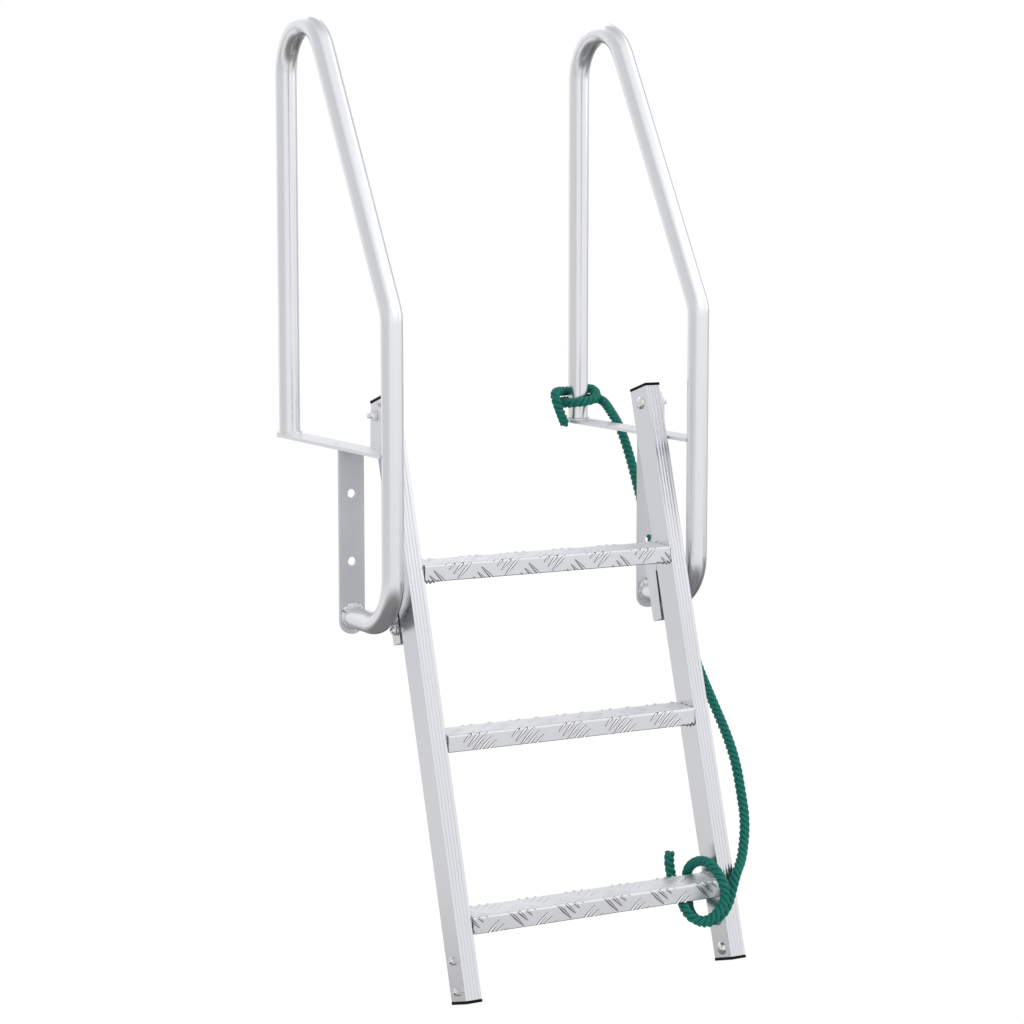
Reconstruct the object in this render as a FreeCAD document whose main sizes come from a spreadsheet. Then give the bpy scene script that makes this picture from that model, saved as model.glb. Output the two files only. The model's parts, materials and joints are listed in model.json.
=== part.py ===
import FreeCAD, Part
import math
import os
import Sketcher

# Folding dock ladder: two bent handrails on flat bar feet, and a three step ladder that
# hangs between them on two pivot bolts. Lengths are in millimetres and angles in degrees.
# The frame: +X runs across the ladder from the left rail to the right one, +Y runs from
# the water towards the dock, +Z is up. The origin lies on the face of the left dock plate
# that bears on the dock, on the plate's centre line and level with the deck.

V = FreeCAD.Vector
os.makedirs("parts", exist_ok=True)
doc = FreeCAD.newDocument("dock_ladder")

# Driving dimensions
DIMENSIONS = [
    ("tube_diameter", 32),
    ("tube_wall", 2),
    ("rail_spacing", 508),
    ("rail_depth", 360),
    ("rail_height", 617.3),
    ("rail_slope", 30.5),
    ("top_bend_radius", 73.4),
    ("knee_bend_radius", 50),
    ("lower_bend_radius", 75),
    ("front_tube_reach", 142),
    ("leg_drop", 246),
    ("bar_width", 40),
    ("bar_thickness", 5),
    ("plate_drop", 272),
    ("plate_hole", 13),
    ("plate_hole_drop", 64),
    ("plate_hole_pitch", 100),
    ("deck_hole", 9),
    ("deck_hole_reach", 48),
    ("deck_hole_pitch", 128),
    ("strap_end_gap", 6),
    ("weld_gap", 0.3),
    ("pivot_reach", 55),
    ("pivot_height", 53),
    ("pivot_ahead", 2),
    ("lug_width", 35),
    ("bolt_diameter", 8),
    ("running_gap", 0.05),
    ("stringer_width", 25),
    ("stringer_depth", 46),
    ("stringer_wall", 2.5),
    ("stringer_length", 862),
    ("stringer_above_pivot", 22.8),
    ("stringer_side_gap", 22),
    ("groove_width", 3),
    ("groove_depth", 0.7),
    ("groove_pitch", 5),
    ("cap_thickness", 4),
    ("step_one_down", 216.8),
    ("step_two_down", 461.5),
    ("step_three_down", 717.7),
    ("tread_depth", 54),
    ("tread_lip", 25),
    ("tread_thickness", 3),
    ("tread_bend", 4),
    ("tread_nose", 6),
    ("foot_bolt_rise", 14),
    ("foot_bolt_pitch", 43),
    ("stop_bolt_drop", 307.4),
    ("stop_bolt_behind", 15),
    ("stop_bite", 2.1),
    ("stop_gap", 0.4),
    ("bracket_depth", 24),
    ("bracket_wall", 3),
    ("bracket_above_bolt", 76),
    ("bracket_below_bolt", 20),
    ("bracket_weld_height", 22),
    ("bracket_slot_top", 4),
    ("bracket_slot_foot", 8),
    ("head_radius", 9.5),
    ("head_height", 4.5),
    ("nut_flats", 13),
    ("nut_height", 6.5),
    ("washer_radius", 8),
    ("washer_height", 1.6),
    ("spacer_radius", 10),
    ("stud_end", 4),
    ("stop_stud_end", 1.5),
    ("thread_chamfer", 1),
    ("side_play", 0.2),
    ("rope_diameter", 14),
    ("hitch_low", 24),
    ("hitch_high", 60),
]
sheet = doc.addObject("Spreadsheet::Sheet", "Dimensions")
for row, (alias, value) in enumerate(DIMENSIONS, start=1):
    sheet.set("A%d" % row, alias)
    sheet.set("B%d" % row, str(value))
    sheet.setAlias("B%d" % row, alias)
doc.recompute()


def size(alias):
    return float(getattr(sheet, alias))


def plane(body, role):
    for feature in body.Origin.OriginFeatures:
        if feature.Role == role:
            return feature


def new_body(label):
    body = doc.addObject("PartDesign::Body", label)
    body.Label = label
    return body


def new_sketch(body, name, role):
    sketch = body.newObject("Sketcher::SketchObject", name)
    sketch.AttachmentSupport = [(plane(body, role), "")]
    sketch.MapMode = "FlatFace"
    return sketch


def drive(sketch, name, constraint, expression):
    index = sketch.addConstraint(constraint)
    sketch.renameConstraint(index, name)
    sketch.setExpression("Constraints." + name, expression)


def add_circle(sketch, name, x, y, diameter, x_rule, y_rule, diameter_rule):
    circle = sketch.addGeometry(Part.Circle(V(x, y, 0), V(0, 0, 1), diameter / 2))
    drive(sketch, name + "_diameter", Sketcher.Constraint("Diameter", circle, diameter), diameter_rule)
    if x_rule is None:
        sketch.addConstraint(Sketcher.Constraint("PointOnObject", circle, 3, -2))
    else:
        drive(sketch, name + "_x", Sketcher.Constraint("DistanceX", -1, 1, circle, 3, x), x_rule)
    if y_rule is None:
        sketch.addConstraint(Sketcher.Constraint("PointOnObject", circle, 3, -1))
    else:
        drive(sketch, name + "_y", Sketcher.Constraint("DistanceY", -1, 1, circle, 3, y), y_rule)
    return circle


def add_rectangle(sketch, name, low_x, low_y, high_x, high_y, rules):
    corners = [V(low_x, low_y, 0), V(high_x, low_y, 0), V(high_x, high_y, 0), V(low_x, high_y, 0)]
    lines = []
    for index in range(4):
        lines.append(sketch.addGeometry(Part.LineSegment(corners[index], corners[(index + 1) % 4])))
    for index in range(4):
        sketch.addConstraint(
            Sketcher.Constraint("Coincident", lines[index], 2, lines[(index + 1) % 4], 1)
        )
    sketch.addConstraint(Sketcher.Constraint("Horizontal", lines[0]))
    sketch.addConstraint(Sketcher.Constraint("Vertical", lines[1]))
    sketch.addConstraint(Sketcher.Constraint("Horizontal", lines[2]))
    sketch.addConstraint(Sketcher.Constraint("Vertical", lines[3]))
    drive(sketch, name + "_low_x", Sketcher.Constraint("DistanceX", -1, 1, lines[0], 1, low_x), rules[0])
    drive(sketch, name + "_low_y", Sketcher.Constraint("DistanceY", -1, 1, lines[0], 1, low_y), rules[1])
    drive(sketch, name + "_high_x", Sketcher.Constraint("DistanceX", -1, 1, lines[1], 2, high_x), rules[2])
    drive(sketch, name + "_high_y", Sketcher.Constraint("DistanceY", -1, 1, lines[1], 2, high_y), rules[3])
    return lines


def pad(body, sketch, name, length_rule, reverse=False):
    feature = body.newObject("PartDesign::Pad", name)
    feature.Profile = sketch
    feature.setExpression("Length", length_rule)
    feature.Reversed = reverse
    sketch.Visibility = False
    return feature


def pocket_through(body, sketch, name):
    feature = body.newObject("PartDesign::Pocket", name)
    feature.Profile = sketch
    feature.Type = "ThroughAll"
    feature.Midplane = True
    sketch.Visibility = False
    return feature


# Positions that follow from the driving dimensions
TUBE_RADIUS = size("tube_diameter") / 2
BAR = size("bar_thickness")
PIVOT = V(0, -size("pivot_reach"), size("pivot_height"))
LOWER_BEND = V(
    0,
    size("lower_bend_radius") - size("front_tube_reach"),
    size("lower_bend_radius") - size("leg_drop"),
)
STOP_BACK = size("stringer_depth") / 2 + size("stop_bolt_behind")
STOP_BEHIND_PIVOT = STOP_BACK + size("pivot_ahead")
FOOT_DROP = size("stringer_length") - size("stringer_above_pivot")


def hanging_tilt():
    # The ladder leans out until the nuts of its stop bolts rest on the lower bends of the
    # handrails. Each nut reaches a little way under the tube, so it bears on the tube's side.
    under = TUBE_RADIUS - size("stop_bite")
    bearing = math.sqrt(TUBE_RADIUS ** 2 - under ** 2)
    corner = size("nut_flats") / math.sqrt(3)
    bend_to_bolt = size("lower_bend_radius") + bearing + corner + size("stop_gap")
    pivot_to_bolt = math.hypot(STOP_BEHIND_PIVOT, size("stop_bolt_drop"))
    across = PIVOT.y - LOWER_BEND.y
    down = PIVOT.z - LOWER_BEND.z
    pivot_to_bend = math.hypot(across, down)
    squares = pivot_to_bend ** 2 + pivot_to_bolt ** 2 - bend_to_bolt ** 2
    swing = math.acos(squares / (2 * pivot_to_bend * pivot_to_bolt))
    lead = math.atan2(STOP_BEHIND_PIVOT, size("stop_bolt_drop"))
    return math.atan2(across, down) + swing + lead


TILT = hanging_tilt()
UP_LADDER = V(0, math.sin(TILT), math.cos(TILT))
BACK_LADDER = V(0, math.cos(TILT), -math.sin(TILT))
SIDES = (("left", 0.0, 1.0), ("right", size("rail_spacing"), -1.0))
LADDER_TURN = FreeCAD.Rotation(V(1, 0, 0), -math.degrees(TILT))
CUT_MARGIN = 1.0
nodes = []


def add_handrail(side, x):
    # One length of round tube: it stands on the deck strap, turns over at the top, slopes
    # down to the front tube, drops past the deck edge and turns back to the dock plate.
    body = new_body(side + "_handrail")
    path = new_sketch(body, side + "_rail_path", "YZ_Plane")
    slope = math.radians(size("rail_slope"))
    front = -size("front_tube_reach")
    back = front + size("rail_depth")
    top_r = size("top_bend_radius")
    knee_r = size("knee_bend_radius")
    low_r = size("lower_bend_radius")
    top_z = size("rail_height") - top_r
    leg_z = -size("leg_drop")
    arc_end = V(back - top_r - top_r * math.cos(slope), top_z + top_r * math.sin(slope), 0)
    knee_z = arc_end.y - (arc_end.x - front) / math.tan(slope)
    tangent = knee_r * math.tan(slope / 2)
    knee_start = V(front + tangent * math.sin(slope), knee_z + tangent * math.cos(slope), 0)
    centre_top = V(back - top_r, top_z, 0)
    centre_knee = V(front + knee_r, knee_z - tangent, 0)
    centre_low = V(front + low_r, leg_z + low_r, 0)
    normal = V(0, 0, 1)
    back_line = path.addGeometry(Part.LineSegment(V(back, BAR, 0), V(back, top_z, 0)))
    top_arc = path.addGeometry(
        Part.ArcOfCircle(Part.Circle(centre_top, normal, top_r), 0, math.pi - slope)
    )
    slope_line = path.addGeometry(Part.LineSegment(arc_end, knee_start))
    knee_arc = path.addGeometry(
        Part.ArcOfCircle(Part.Circle(centre_knee, normal, knee_r), math.pi - slope, math.pi)
    )
    front_line = path.addGeometry(
        Part.LineSegment(V(front, knee_z - tangent, 0), V(front, leg_z + low_r, 0))
    )
    low_arc = path.addGeometry(
        Part.ArcOfCircle(Part.Circle(centre_low, normal, low_r), math.pi, 1.5 * math.pi)
    )
    leg_line = path.addGeometry(Part.LineSegment(V(front + low_r, leg_z, 0), V(-BAR, leg_z, 0)))
    chain = [
        (back_line, 2, top_arc, 1),
        (top_arc, 2, slope_line, 1),
        (slope_line, 2, knee_arc, 1),
        (knee_arc, 2, front_line, 1),
        (front_line, 2, low_arc, 1),
        (low_arc, 2, leg_line, 1),
    ]
    for first, first_end, second, second_end in chain:
        path.addConstraint(Sketcher.Constraint("Tangent", first, first_end, second, second_end))
    path.addConstraint(Sketcher.Constraint("Vertical", back_line))
    path.addConstraint(Sketcher.Constraint("Vertical", front_line))
    path.addConstraint(Sketcher.Constraint("Horizontal", leg_line))
    bends = (
        ("top_radius", top_arc, top_r, "Dimensions.top_bend_radius"),
        ("knee_radius", knee_arc, knee_r, "Dimensions.knee_bend_radius"),
        ("low_radius", low_arc, low_r, "Dimensions.lower_bend_radius"),
    )
    for name, arc, radius, rule in bends:
        drive(path, name, Sketcher.Constraint("Radius", arc, radius), rule)
    drive(
        path,
        "back_x",
        Sketcher.Constraint("DistanceX", -1, 1, back_line, 1, back),
        "Dimensions.rail_depth - Dimensions.front_tube_reach",
    )
    drive(path, "foot", Sketcher.Constraint("DistanceY", -1, 1, back_line, 1, BAR), "Dimensions.bar_thickness")
    drive(
        path,
        "front_x",
        Sketcher.Constraint("DistanceX", -1, 1, front_line, 2, front),
        "-Dimensions.front_tube_reach",
    )
    drive(
        path,
        "top_centre",
        Sketcher.Constraint("DistanceY", -1, 1, top_arc, 3, top_z),
        "Dimensions.rail_height - Dimensions.top_bend_radius",
    )
    drive(path, "leg_z", Sketcher.Constraint("DistanceY", -1, 1, leg_line, 2, leg_z), "-Dimensions.leg_drop")
    drive(
        path,
        "leg_end",
        Sketcher.Constraint("DistanceX", -1, 1, leg_line, 2, -BAR),
        "-Dimensions.bar_thickness",
    )
    drive(
        path,
        "slope",
        Sketcher.Constraint("Angle", slope_line, -math.pi / 2 - slope),
        "-90 - Dimensions.rail_slope",
    )
    profile = new_sketch(body, side + "_rail_section", "XY_Plane")
    profile.AttachmentOffset = FreeCAD.Placement(V(0, 0, BAR), FreeCAD.Rotation())
    add_circle(
        profile,
        "outside",
        0,
        back,
        2 * TUBE_RADIUS,
        None,
        "Dimensions.rail_depth - Dimensions.front_tube_reach",
        "Dimensions.tube_diameter",
    )
    bore = 2 * (TUBE_RADIUS - size("tube_wall"))
    add_circle(
        profile,
        "bore",
        0,
        back,
        bore,
        None,
        "Dimensions.rail_depth - Dimensions.front_tube_reach",
        "Dimensions.tube_diameter - 2 * Dimensions.tube_wall",
    )
    doc.recompute()
    pipe = body.newObject("PartDesign::AdditivePipe", side + "_rail_tube")
    pipe.Profile = profile
    pipe.Spine = (path, [])
    body.Placement = FreeCAD.Placement(V(x, 0, 0), FreeCAD.Rotation())
    nodes.append(body)


def add_deck_strap(side, x):
    # Flat bar on the deck: rounded round the back tube, notched to fit the front tube.
    body = new_body(side + "_deck_strap")
    outline = new_sketch(body, side + "_strap_outline", "XY_Plane")
    half = size("bar_width") / 2
    front = -size("front_tube_reach")
    back = front + size("rail_depth")
    end = front + size("strap_end_gap")
    left = outline.addGeometry(Part.LineSegment(V(-half, back, 0), V(-half, end, 0)))
    across = outline.addGeometry(Part.LineSegment(V(-half, end, 0), V(half, end, 0)))
    right = outline.addGeometry(Part.LineSegment(V(half, end, 0), V(half, back, 0)))
    round_end = outline.addGeometry(
        Part.ArcOfCircle(Part.Circle(V(0, back, 0), V(0, 0, 1), half), 0, math.pi)
    )
    outline.addConstraint(Sketcher.Constraint("Coincident", left, 2, across, 1))
    outline.addConstraint(Sketcher.Constraint("Coincident", across, 2, right, 1))
    outline.addConstraint(Sketcher.Constraint("Tangent", right, 2, round_end, 1))
    outline.addConstraint(Sketcher.Constraint("Tangent", round_end, 2, left, 1))
    outline.addConstraint(Sketcher.Constraint("Vertical", left))
    outline.addConstraint(Sketcher.Constraint("Horizontal", across))
    outline.addConstraint(Sketcher.Constraint("PointOnObject", round_end, 3, -2))
    drive(outline, "radius", Sketcher.Constraint("Radius", round_end, half), "Dimensions.bar_width / 2")
    drive(
        outline,
        "back",
        Sketcher.Constraint("DistanceY", -1, 1, round_end, 3, back),
        "Dimensions.rail_depth - Dimensions.front_tube_reach",
    )
    drive(
        outline,
        "end",
        Sketcher.Constraint("DistanceY", -1, 1, across, 1, end),
        "Dimensions.strap_end_gap - Dimensions.front_tube_reach",
    )
    pad(body, outline, side + "_strap_bar", "Dimensions.bar_thickness")
    holes = new_sketch(body, side + "_strap_holes", "XY_Plane")
    near = size("deck_hole_reach")
    far = near + size("deck_hole_pitch")
    hole = size("deck_hole")
    notch = 2 * (TUBE_RADIUS + size("weld_gap"))
    add_circle(holes, "near", 0, near, hole, None, "Dimensions.deck_hole_reach", "Dimensions.deck_hole")
    add_circle(
        holes,
        "far",
        0,
        far,
        hole,
        None,
        "Dimensions.deck_hole_reach + Dimensions.deck_hole_pitch",
        "Dimensions.deck_hole",
    )
    add_circle(
        holes,
        "notch",
        0,
        front,
        notch,
        None,
        "-Dimensions.front_tube_reach",
        "Dimensions.tube_diameter + 2 * Dimensions.weld_gap",
    )
    pocket_through(body, holes, side + "_strap_cuts")
    body.Placement = FreeCAD.Placement(V(x, 0, 0), FreeCAD.Rotation())
    nodes.append(body)


def add_dock_plate(side, x):
    # Flat bar down the face of the dock, welded under the strap, with a rounded foot.
    body = new_body(side + "_dock_plate")
    outline = new_sketch(body, side + "_plate_outline", "XZ_Plane")
    half = size("bar_width") / 2
    foot = -size("plate_drop") + half
    left = outline.addGeometry(Part.LineSegment(V(-half, 0, 0), V(-half, foot, 0)))
    round_end = outline.addGeometry(
        Part.ArcOfCircle(Part.Circle(V(0, foot, 0), V(0, 0, 1), half), math.pi, 2 * math.pi)
    )
    right = outline.addGeometry(Part.LineSegment(V(half, foot, 0), V(half, 0, 0)))
    top = outline.addGeometry(Part.LineSegment(V(half, 0, 0), V(-half, 0, 0)))
    outline.addConstraint(Sketcher.Constraint("Tangent", left, 2, round_end, 1))
    outline.addConstraint(Sketcher.Constraint("Tangent", round_end, 2, right, 1))
    outline.addConstraint(Sketcher.Constraint("Coincident", right, 2, top, 1))
    outline.addConstraint(Sketcher.Constraint("Coincident", top, 2, left, 1))
    outline.addConstraint(Sketcher.Constraint("Vertical", left))
    outline.addConstraint(Sketcher.Constraint("PointOnObject", round_end, 3, -2))
    outline.addConstraint(Sketcher.Constraint("PointOnObject", top, 1, -1))
    outline.addConstraint(Sketcher.Constraint("PointOnObject", top, 2, -1))
    drive(outline, "radius", Sketcher.Constraint("Radius", round_end, half), "Dimensions.bar_width / 2")
    drive(
        outline,
        "foot",
        Sketcher.Constraint("DistanceY", -1, 1, round_end, 3, foot),
        "Dimensions.bar_width / 2 - Dimensions.plate_drop",
    )
    pad(body, outline, side + "_plate_bar", "Dimensions.bar_thickness")
    holes = new_sketch(body, side + "_plate_holes", "XZ_Plane")
    high = -size("plate_hole_drop")
    low = high - size("plate_hole_pitch")
    hole = size("plate_hole")
    add_circle(holes, "high", 0, high, hole, None, "-Dimensions.plate_hole_drop", "Dimensions.plate_hole")
    add_circle(
        holes,
        "low",
        0,
        low,
        hole,
        None,
        "-Dimensions.plate_hole_drop - Dimensions.plate_hole_pitch",
        "Dimensions.plate_hole",
    )
    pocket_through(body, holes, side + "_plate_cuts")
    body.Placement = FreeCAD.Placement(V(x, 0, 0), FreeCAD.Rotation())
    nodes.append(body)


def add_pivot_lug(side, x, inward):
    # Upright ear on the strap's inner edge, rounded about the pivot hole.
    body = new_body(side + "_pivot_lug")
    outline = new_sketch(body, side + "_lug_outline", "YZ_Plane")
    half = size("lug_width") / 2
    left = outline.addGeometry(
        Part.LineSegment(V(PIVOT.y - half, PIVOT.z, 0), V(PIVOT.y - half, BAR, 0))
    )
    foot = outline.addGeometry(Part.LineSegment(V(PIVOT.y - half, BAR, 0), V(PIVOT.y + half, BAR, 0)))
    right = outline.addGeometry(
        Part.LineSegment(V(PIVOT.y + half, BAR, 0), V(PIVOT.y + half, PIVOT.z, 0))
    )
    round_end = outline.addGeometry(
        Part.ArcOfCircle(Part.Circle(V(PIVOT.y, PIVOT.z, 0), V(0, 0, 1), half), 0, math.pi)
    )
    outline.addConstraint(Sketcher.Constraint("Coincident", left, 2, foot, 1))
    outline.addConstraint(Sketcher.Constraint("Coincident", foot, 2, right, 1))
    outline.addConstraint(Sketcher.Constraint("Tangent", right, 2, round_end, 1))
    outline.addConstraint(Sketcher.Constraint("Tangent", round_end, 2, left, 1))
    outline.addConstraint(Sketcher.Constraint("Vertical", left))
    outline.addConstraint(Sketcher.Constraint("Horizontal", foot))
    drive(outline, "radius", Sketcher.Constraint("Radius", round_end, half), "Dimensions.lug_width / 2")
    drive(
        outline,
        "pivot_y",
        Sketcher.Constraint("DistanceX", -1, 1, round_end, 3, PIVOT.y),
        "-Dimensions.pivot_reach",
    )
    drive(
        outline,
        "pivot_z",
        Sketcher.Constraint("DistanceY", -1, 1, round_end, 3, PIVOT.z),
        "Dimensions.pivot_height",
    )
    drive(
        outline,
        "foot",
        Sketcher.Constraint("DistanceY", -1, 1, foot, 1, BAR),
        "Dimensions.bar_thickness",
    )
    pad(body, outline, side + "_lug_bar", "Dimensions.bar_thickness")
    hole = new_sketch(body, side + "_lug_hole", "YZ_Plane")
    add_circle(
        hole,
        "pivot",
        PIVOT.y,
        PIVOT.z,
        size("bolt_diameter") + 2 * size("running_gap"),
        "-Dimensions.pivot_reach",
        "Dimensions.pivot_height",
        "Dimensions.bolt_diameter + 2 * Dimensions.running_gap",
    )
    pocket_through(body, hole, side + "_lug_cut")
    inner = x + inward * size("bar_width") / 2
    body.Placement = FreeCAD.Placement(V(min(inner, inner - inward * BAR), 0, 0), FreeCAD.Rotation())
    nodes.append(body)


def ladder_point(x, back, up):
    # back is measured from the stringers' middle plane, up from the pivot along them
    return PIVOT + V(x, 0, 0) + BACK_LADDER * (back + size("pivot_ahead")) + UP_LADDER * up


def stringer_low_x(x, inward):
    outer = x + inward * size("stringer_side_gap")
    return min(outer, outer + inward * size("stringer_width"))


def add_stringer(side, x, inward):
    # Rectangular hollow profile with fine grooves along its front face.
    body = new_body(side + "_stringer")
    section = new_sketch(body, side + "_stringer_section", "XY_Plane")
    width = size("stringer_width")
    half = size("stringer_depth") / 2
    wall = size("stringer_wall")
    add_rectangle(
        section,
        "outside",
        0,
        -half,
        width,
        half,
        [
            "0",
            "-Dimensions.stringer_depth / 2",
            "Dimensions.stringer_width",
            "Dimensions.stringer_depth / 2",
        ],
    )
    add_rectangle(
        section,
        "inside",
        wall,
        -half + wall,
        width - wall,
        half - wall,
        [
            "Dimensions.stringer_wall",
            "Dimensions.stringer_wall - Dimensions.stringer_depth / 2",
            "Dimensions.stringer_width - Dimensions.stringer_wall",
            "Dimensions.stringer_depth / 2 - Dimensions.stringer_wall",
        ],
    )
    pad(body, section, side + "_stringer_tube", "Dimensions.stringer_length")
    groove = new_sketch(body, side + "_groove", "XY_Plane")
    groove_low = width / 2 - 1.5 * size("groove_pitch") - size("groove_width") / 2
    add_rectangle(
        groove,
        "groove",
        groove_low,
        -half - CUT_MARGIN,
        groove_low + size("groove_width"),
        -half + size("groove_depth"),
        [
            "Dimensions.stringer_width / 2 - 1.5 * Dimensions.groove_pitch - Dimensions.groove_width / 2",
            "-Dimensions.stringer_depth / 2 - 1",
            "Dimensions.stringer_width / 2 - 1.5 * Dimensions.groove_pitch + Dimensions.groove_width / 2",
            "Dimensions.groove_depth - Dimensions.stringer_depth / 2",
        ],
    )
    groove_cut = pocket_through(body, groove, side + "_groove_cut")
    doc.recompute()
    pattern = body.newObject("PartDesign::LinearPattern", side + "_grooves")
    pattern.Originals = [groove_cut]
    pattern.Direction = (groove, ["H_Axis"])
    pattern.setExpression("Length", "3 * Dimensions.groove_pitch")
    pattern.Occurrences = 4
    body.Tip = pattern
    holes = new_sketch(body, side + "_stringer_holes", "YZ_Plane")
    low = size("foot_bolt_rise")
    high = low + size("foot_bolt_pitch")
    bolt = size("bolt_diameter") + 2 * size("running_gap")
    bolt_rule = "Dimensions.bolt_diameter + 2 * Dimensions.running_gap"
    high_rule = "Dimensions.foot_bolt_rise + Dimensions.foot_bolt_pitch"
    pivot_rule = "Dimensions.stringer_length - Dimensions.stringer_above_pivot"
    add_circle(holes, "foot_low", 0, low, bolt, None, "Dimensions.foot_bolt_rise", bolt_rule)
    add_circle(holes, "foot_high", 0, high, bolt, None, high_rule, bolt_rule)
    ahead = -size("pivot_ahead")
    add_circle(holes, "pivot", ahead, FOOT_DROP, bolt, "-Dimensions.pivot_ahead", pivot_rule, bolt_rule)
    pocket_through(body, holes, side + "_stringer_cuts")
    base = ladder_point(stringer_low_x(x, inward), 0, -FOOT_DROP)
    body.Placement = FreeCAD.Placement(base, LADDER_TURN)
    nodes.append(body)


def add_cap(side, x, inward, end):
    # Plastic cap over the open end of a stringer.
    body = new_body(side + "_" + end + "_cap")
    section = new_sketch(body, side + "_" + end + "_cap_section", "XY_Plane")
    half = size("stringer_depth") / 2
    add_rectangle(
        section,
        "outside",
        0,
        -half,
        size("stringer_width"),
        half,
        [
            "0",
            "-Dimensions.stringer_depth / 2",
            "Dimensions.stringer_width",
            "Dimensions.stringer_depth / 2",
        ],
    )
    pad(body, section, side + "_" + end + "_cap_plate", "Dimensions.cap_thickness")
    underside = size("stringer_above_pivot")
    if end == "foot":
        underside = -FOOT_DROP - size("cap_thickness")
    base = ladder_point(stringer_low_x(x, inward), 0, underside)
    body.Placement = FreeCAD.Placement(base, LADDER_TURN)
    nodes.append(body)


def add_tread(label, down_alias):
    # Chequer plate bent down at the front and the back, level when the ladder hangs. Its
    # top meets the stringers' middle line at a length measured down them from the pivot.
    body = new_body(label)
    section = new_sketch(body, label + "_section", "YZ_Plane")
    middle = ladder_point(0, 0, -size(down_alias))
    depth = size("tread_depth")
    lip = size("tread_lip")
    thick = size("tread_thickness")
    span = size("rail_spacing") - 2 * (size("stringer_side_gap") + size("stringer_width"))
    half = size("stringer_depth") / 2
    front = middle.y - half / math.cos(TILT) - size("tread_nose")
    points = [
        V(0, 0, 0),
        V(0, -lip, 0),
        V(thick, -lip, 0),
        V(thick, -thick, 0),
        V(depth - thick, -thick, 0),
        V(depth - thick, -lip, 0),
        V(depth, -lip, 0),
        V(depth, 0, 0),
    ]
    lines = []
    for index in range(8):
        lines.append(section.addGeometry(Part.LineSegment(points[index], points[(index + 1) % 8])))
    for index in range(8):
        section.addConstraint(
            Sketcher.Constraint("Coincident", lines[index], 2, lines[(index + 1) % 8], 1)
        )
        way = "Vertical" if index % 2 == 0 else "Horizontal"
        section.addConstraint(Sketcher.Constraint(way, lines[index]))
    section.addConstraint(Sketcher.Constraint("Coincident", lines[0], 1, -1, 1))
    drive(section, "lip", Sketcher.Constraint("DistanceY", lines[0], 2, -1, 1, lip), "Dimensions.tread_lip")
    drive(
        section,
        "front_sheet",
        Sketcher.Constraint("DistanceX", lines[1], 1, lines[1], 2, thick),
        "Dimensions.tread_thickness",
    )
    drive(
        section,
        "top_sheet",
        Sketcher.Constraint("DistanceY", lines[3], 1, -1, 1, thick),
        "Dimensions.tread_thickness",
    )
    drive(
        section,
        "back_sheet",
        Sketcher.Constraint("DistanceX", lines[5], 1, lines[5], 2, thick),
        "Dimensions.tread_thickness",
    )
    drive(
        section,
        "depth",
        Sketcher.Constraint("DistanceX", -1, 1, lines[6], 2, depth),
        "Dimensions.tread_depth",
    )
    section.addConstraint(Sketcher.Constraint("Equal", lines[0], lines[6]))
    sheet_pad = pad(
        body,
        section,
        label + "_sheet",
        "Dimensions.rail_spacing - 2 * (Dimensions.stringer_side_gap + Dimensions.stringer_width)",
    )
    doc.recompute()
    edges = []
    for number, edge in enumerate(sheet_pad.Shape.Edges, start=1):
        box = edge.BoundBox
        if abs(box.XLength - span) > 0.01 or box.YLength > 0.01:
            continue
        if abs(box.ZMax) < 0.01:
            edges.append("Edge%d" % number)
    bend = body.newObject("PartDesign::Fillet", label + "_bends")
    bend.Base = (sheet_pad, edges)
    bend.setExpression("Radius", "Dimensions.tread_bend")
    base = V(size("stringer_side_gap") + size("stringer_width"), front, middle.z)
    body.Placement = FreeCAD.Placement(base, FreeCAD.Rotation())
    nodes.append(body)


def turned(points, centre, way):
    # A solid of revolution about an axis through centre along way: points are pairs of
    # distance along the axis and radius.
    corners = [V(along, radius, 0) for along, radius in points]
    corners.append(corners[0])
    face = Part.Face(Part.makePolygon(corners))
    solid = face.revolve(V(0, 0, 0), V(1, 0, 0), 360)
    solid.Placement = FreeCAD.Placement(centre, FreeCAD.Rotation(V(1, 0, 0), way))
    return solid


def hexagon(centre, way):
    # Nut: a hexagonal prism with a hole, starting at centre and going along way.
    corner = size("nut_flats") / math.sqrt(3)
    points = []
    for index in range(7):
        angle = math.radians(60 * index)
        points.append(V(0, corner * math.cos(angle), corner * math.sin(angle)))
    height = size("nut_height")
    prism = Part.Face(Part.makePolygon(points)).extrude(V(height, 0, 0))
    radius = size("bolt_diameter") / 2
    bore = Part.makeCylinder(radius, height + 2 * CUT_MARGIN, V(-CUT_MARGIN, 0, 0), V(1, 0, 0))
    nut = prism.cut(bore)
    nut.Placement = FreeCAD.Placement(centre, FreeCAD.Rotation(V(1, 0, 0), way))
    return nut


def ring(outer, thickness, centre, way):
    # Washer or spacer with the bolt's own bore, starting at centre and going along way.
    bore = size("bolt_diameter") / 2
    return turned([(0, bore), (0, outer), (thickness, outer), (thickness, bore)], centre, way)


def add_shape(label, shape):
    feature = doc.addObject("Part::Feature", label)
    feature.Label = label
    feature.Shape = shape
    nodes.append(feature)


# Profile of the domed heads, as shares of the head's height and radius
DOME = ((1.0, 0.35), (0.75, 0.70), (0.35, 0.95))


def dome_head_bolt(centre, way, grip):
    # Domed head with its flat side at centre, shank along way through the grip.
    radius = size("bolt_diameter") / 2
    chamfer = size("thread_chamfer")
    reach = grip + size("stud_end")
    outline = [(-size("head_height"), 0)]
    for rise, spread in DOME:
        outline.append((-size("head_height") * rise, size("head_radius") * spread))
    outline.append((0, size("head_radius")))
    outline.append((0, radius))
    outline.append((reach - chamfer, radius))
    outline.append((reach, radius - chamfer))
    outline.append((reach, 0))
    return turned(outline, centre, way)


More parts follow.
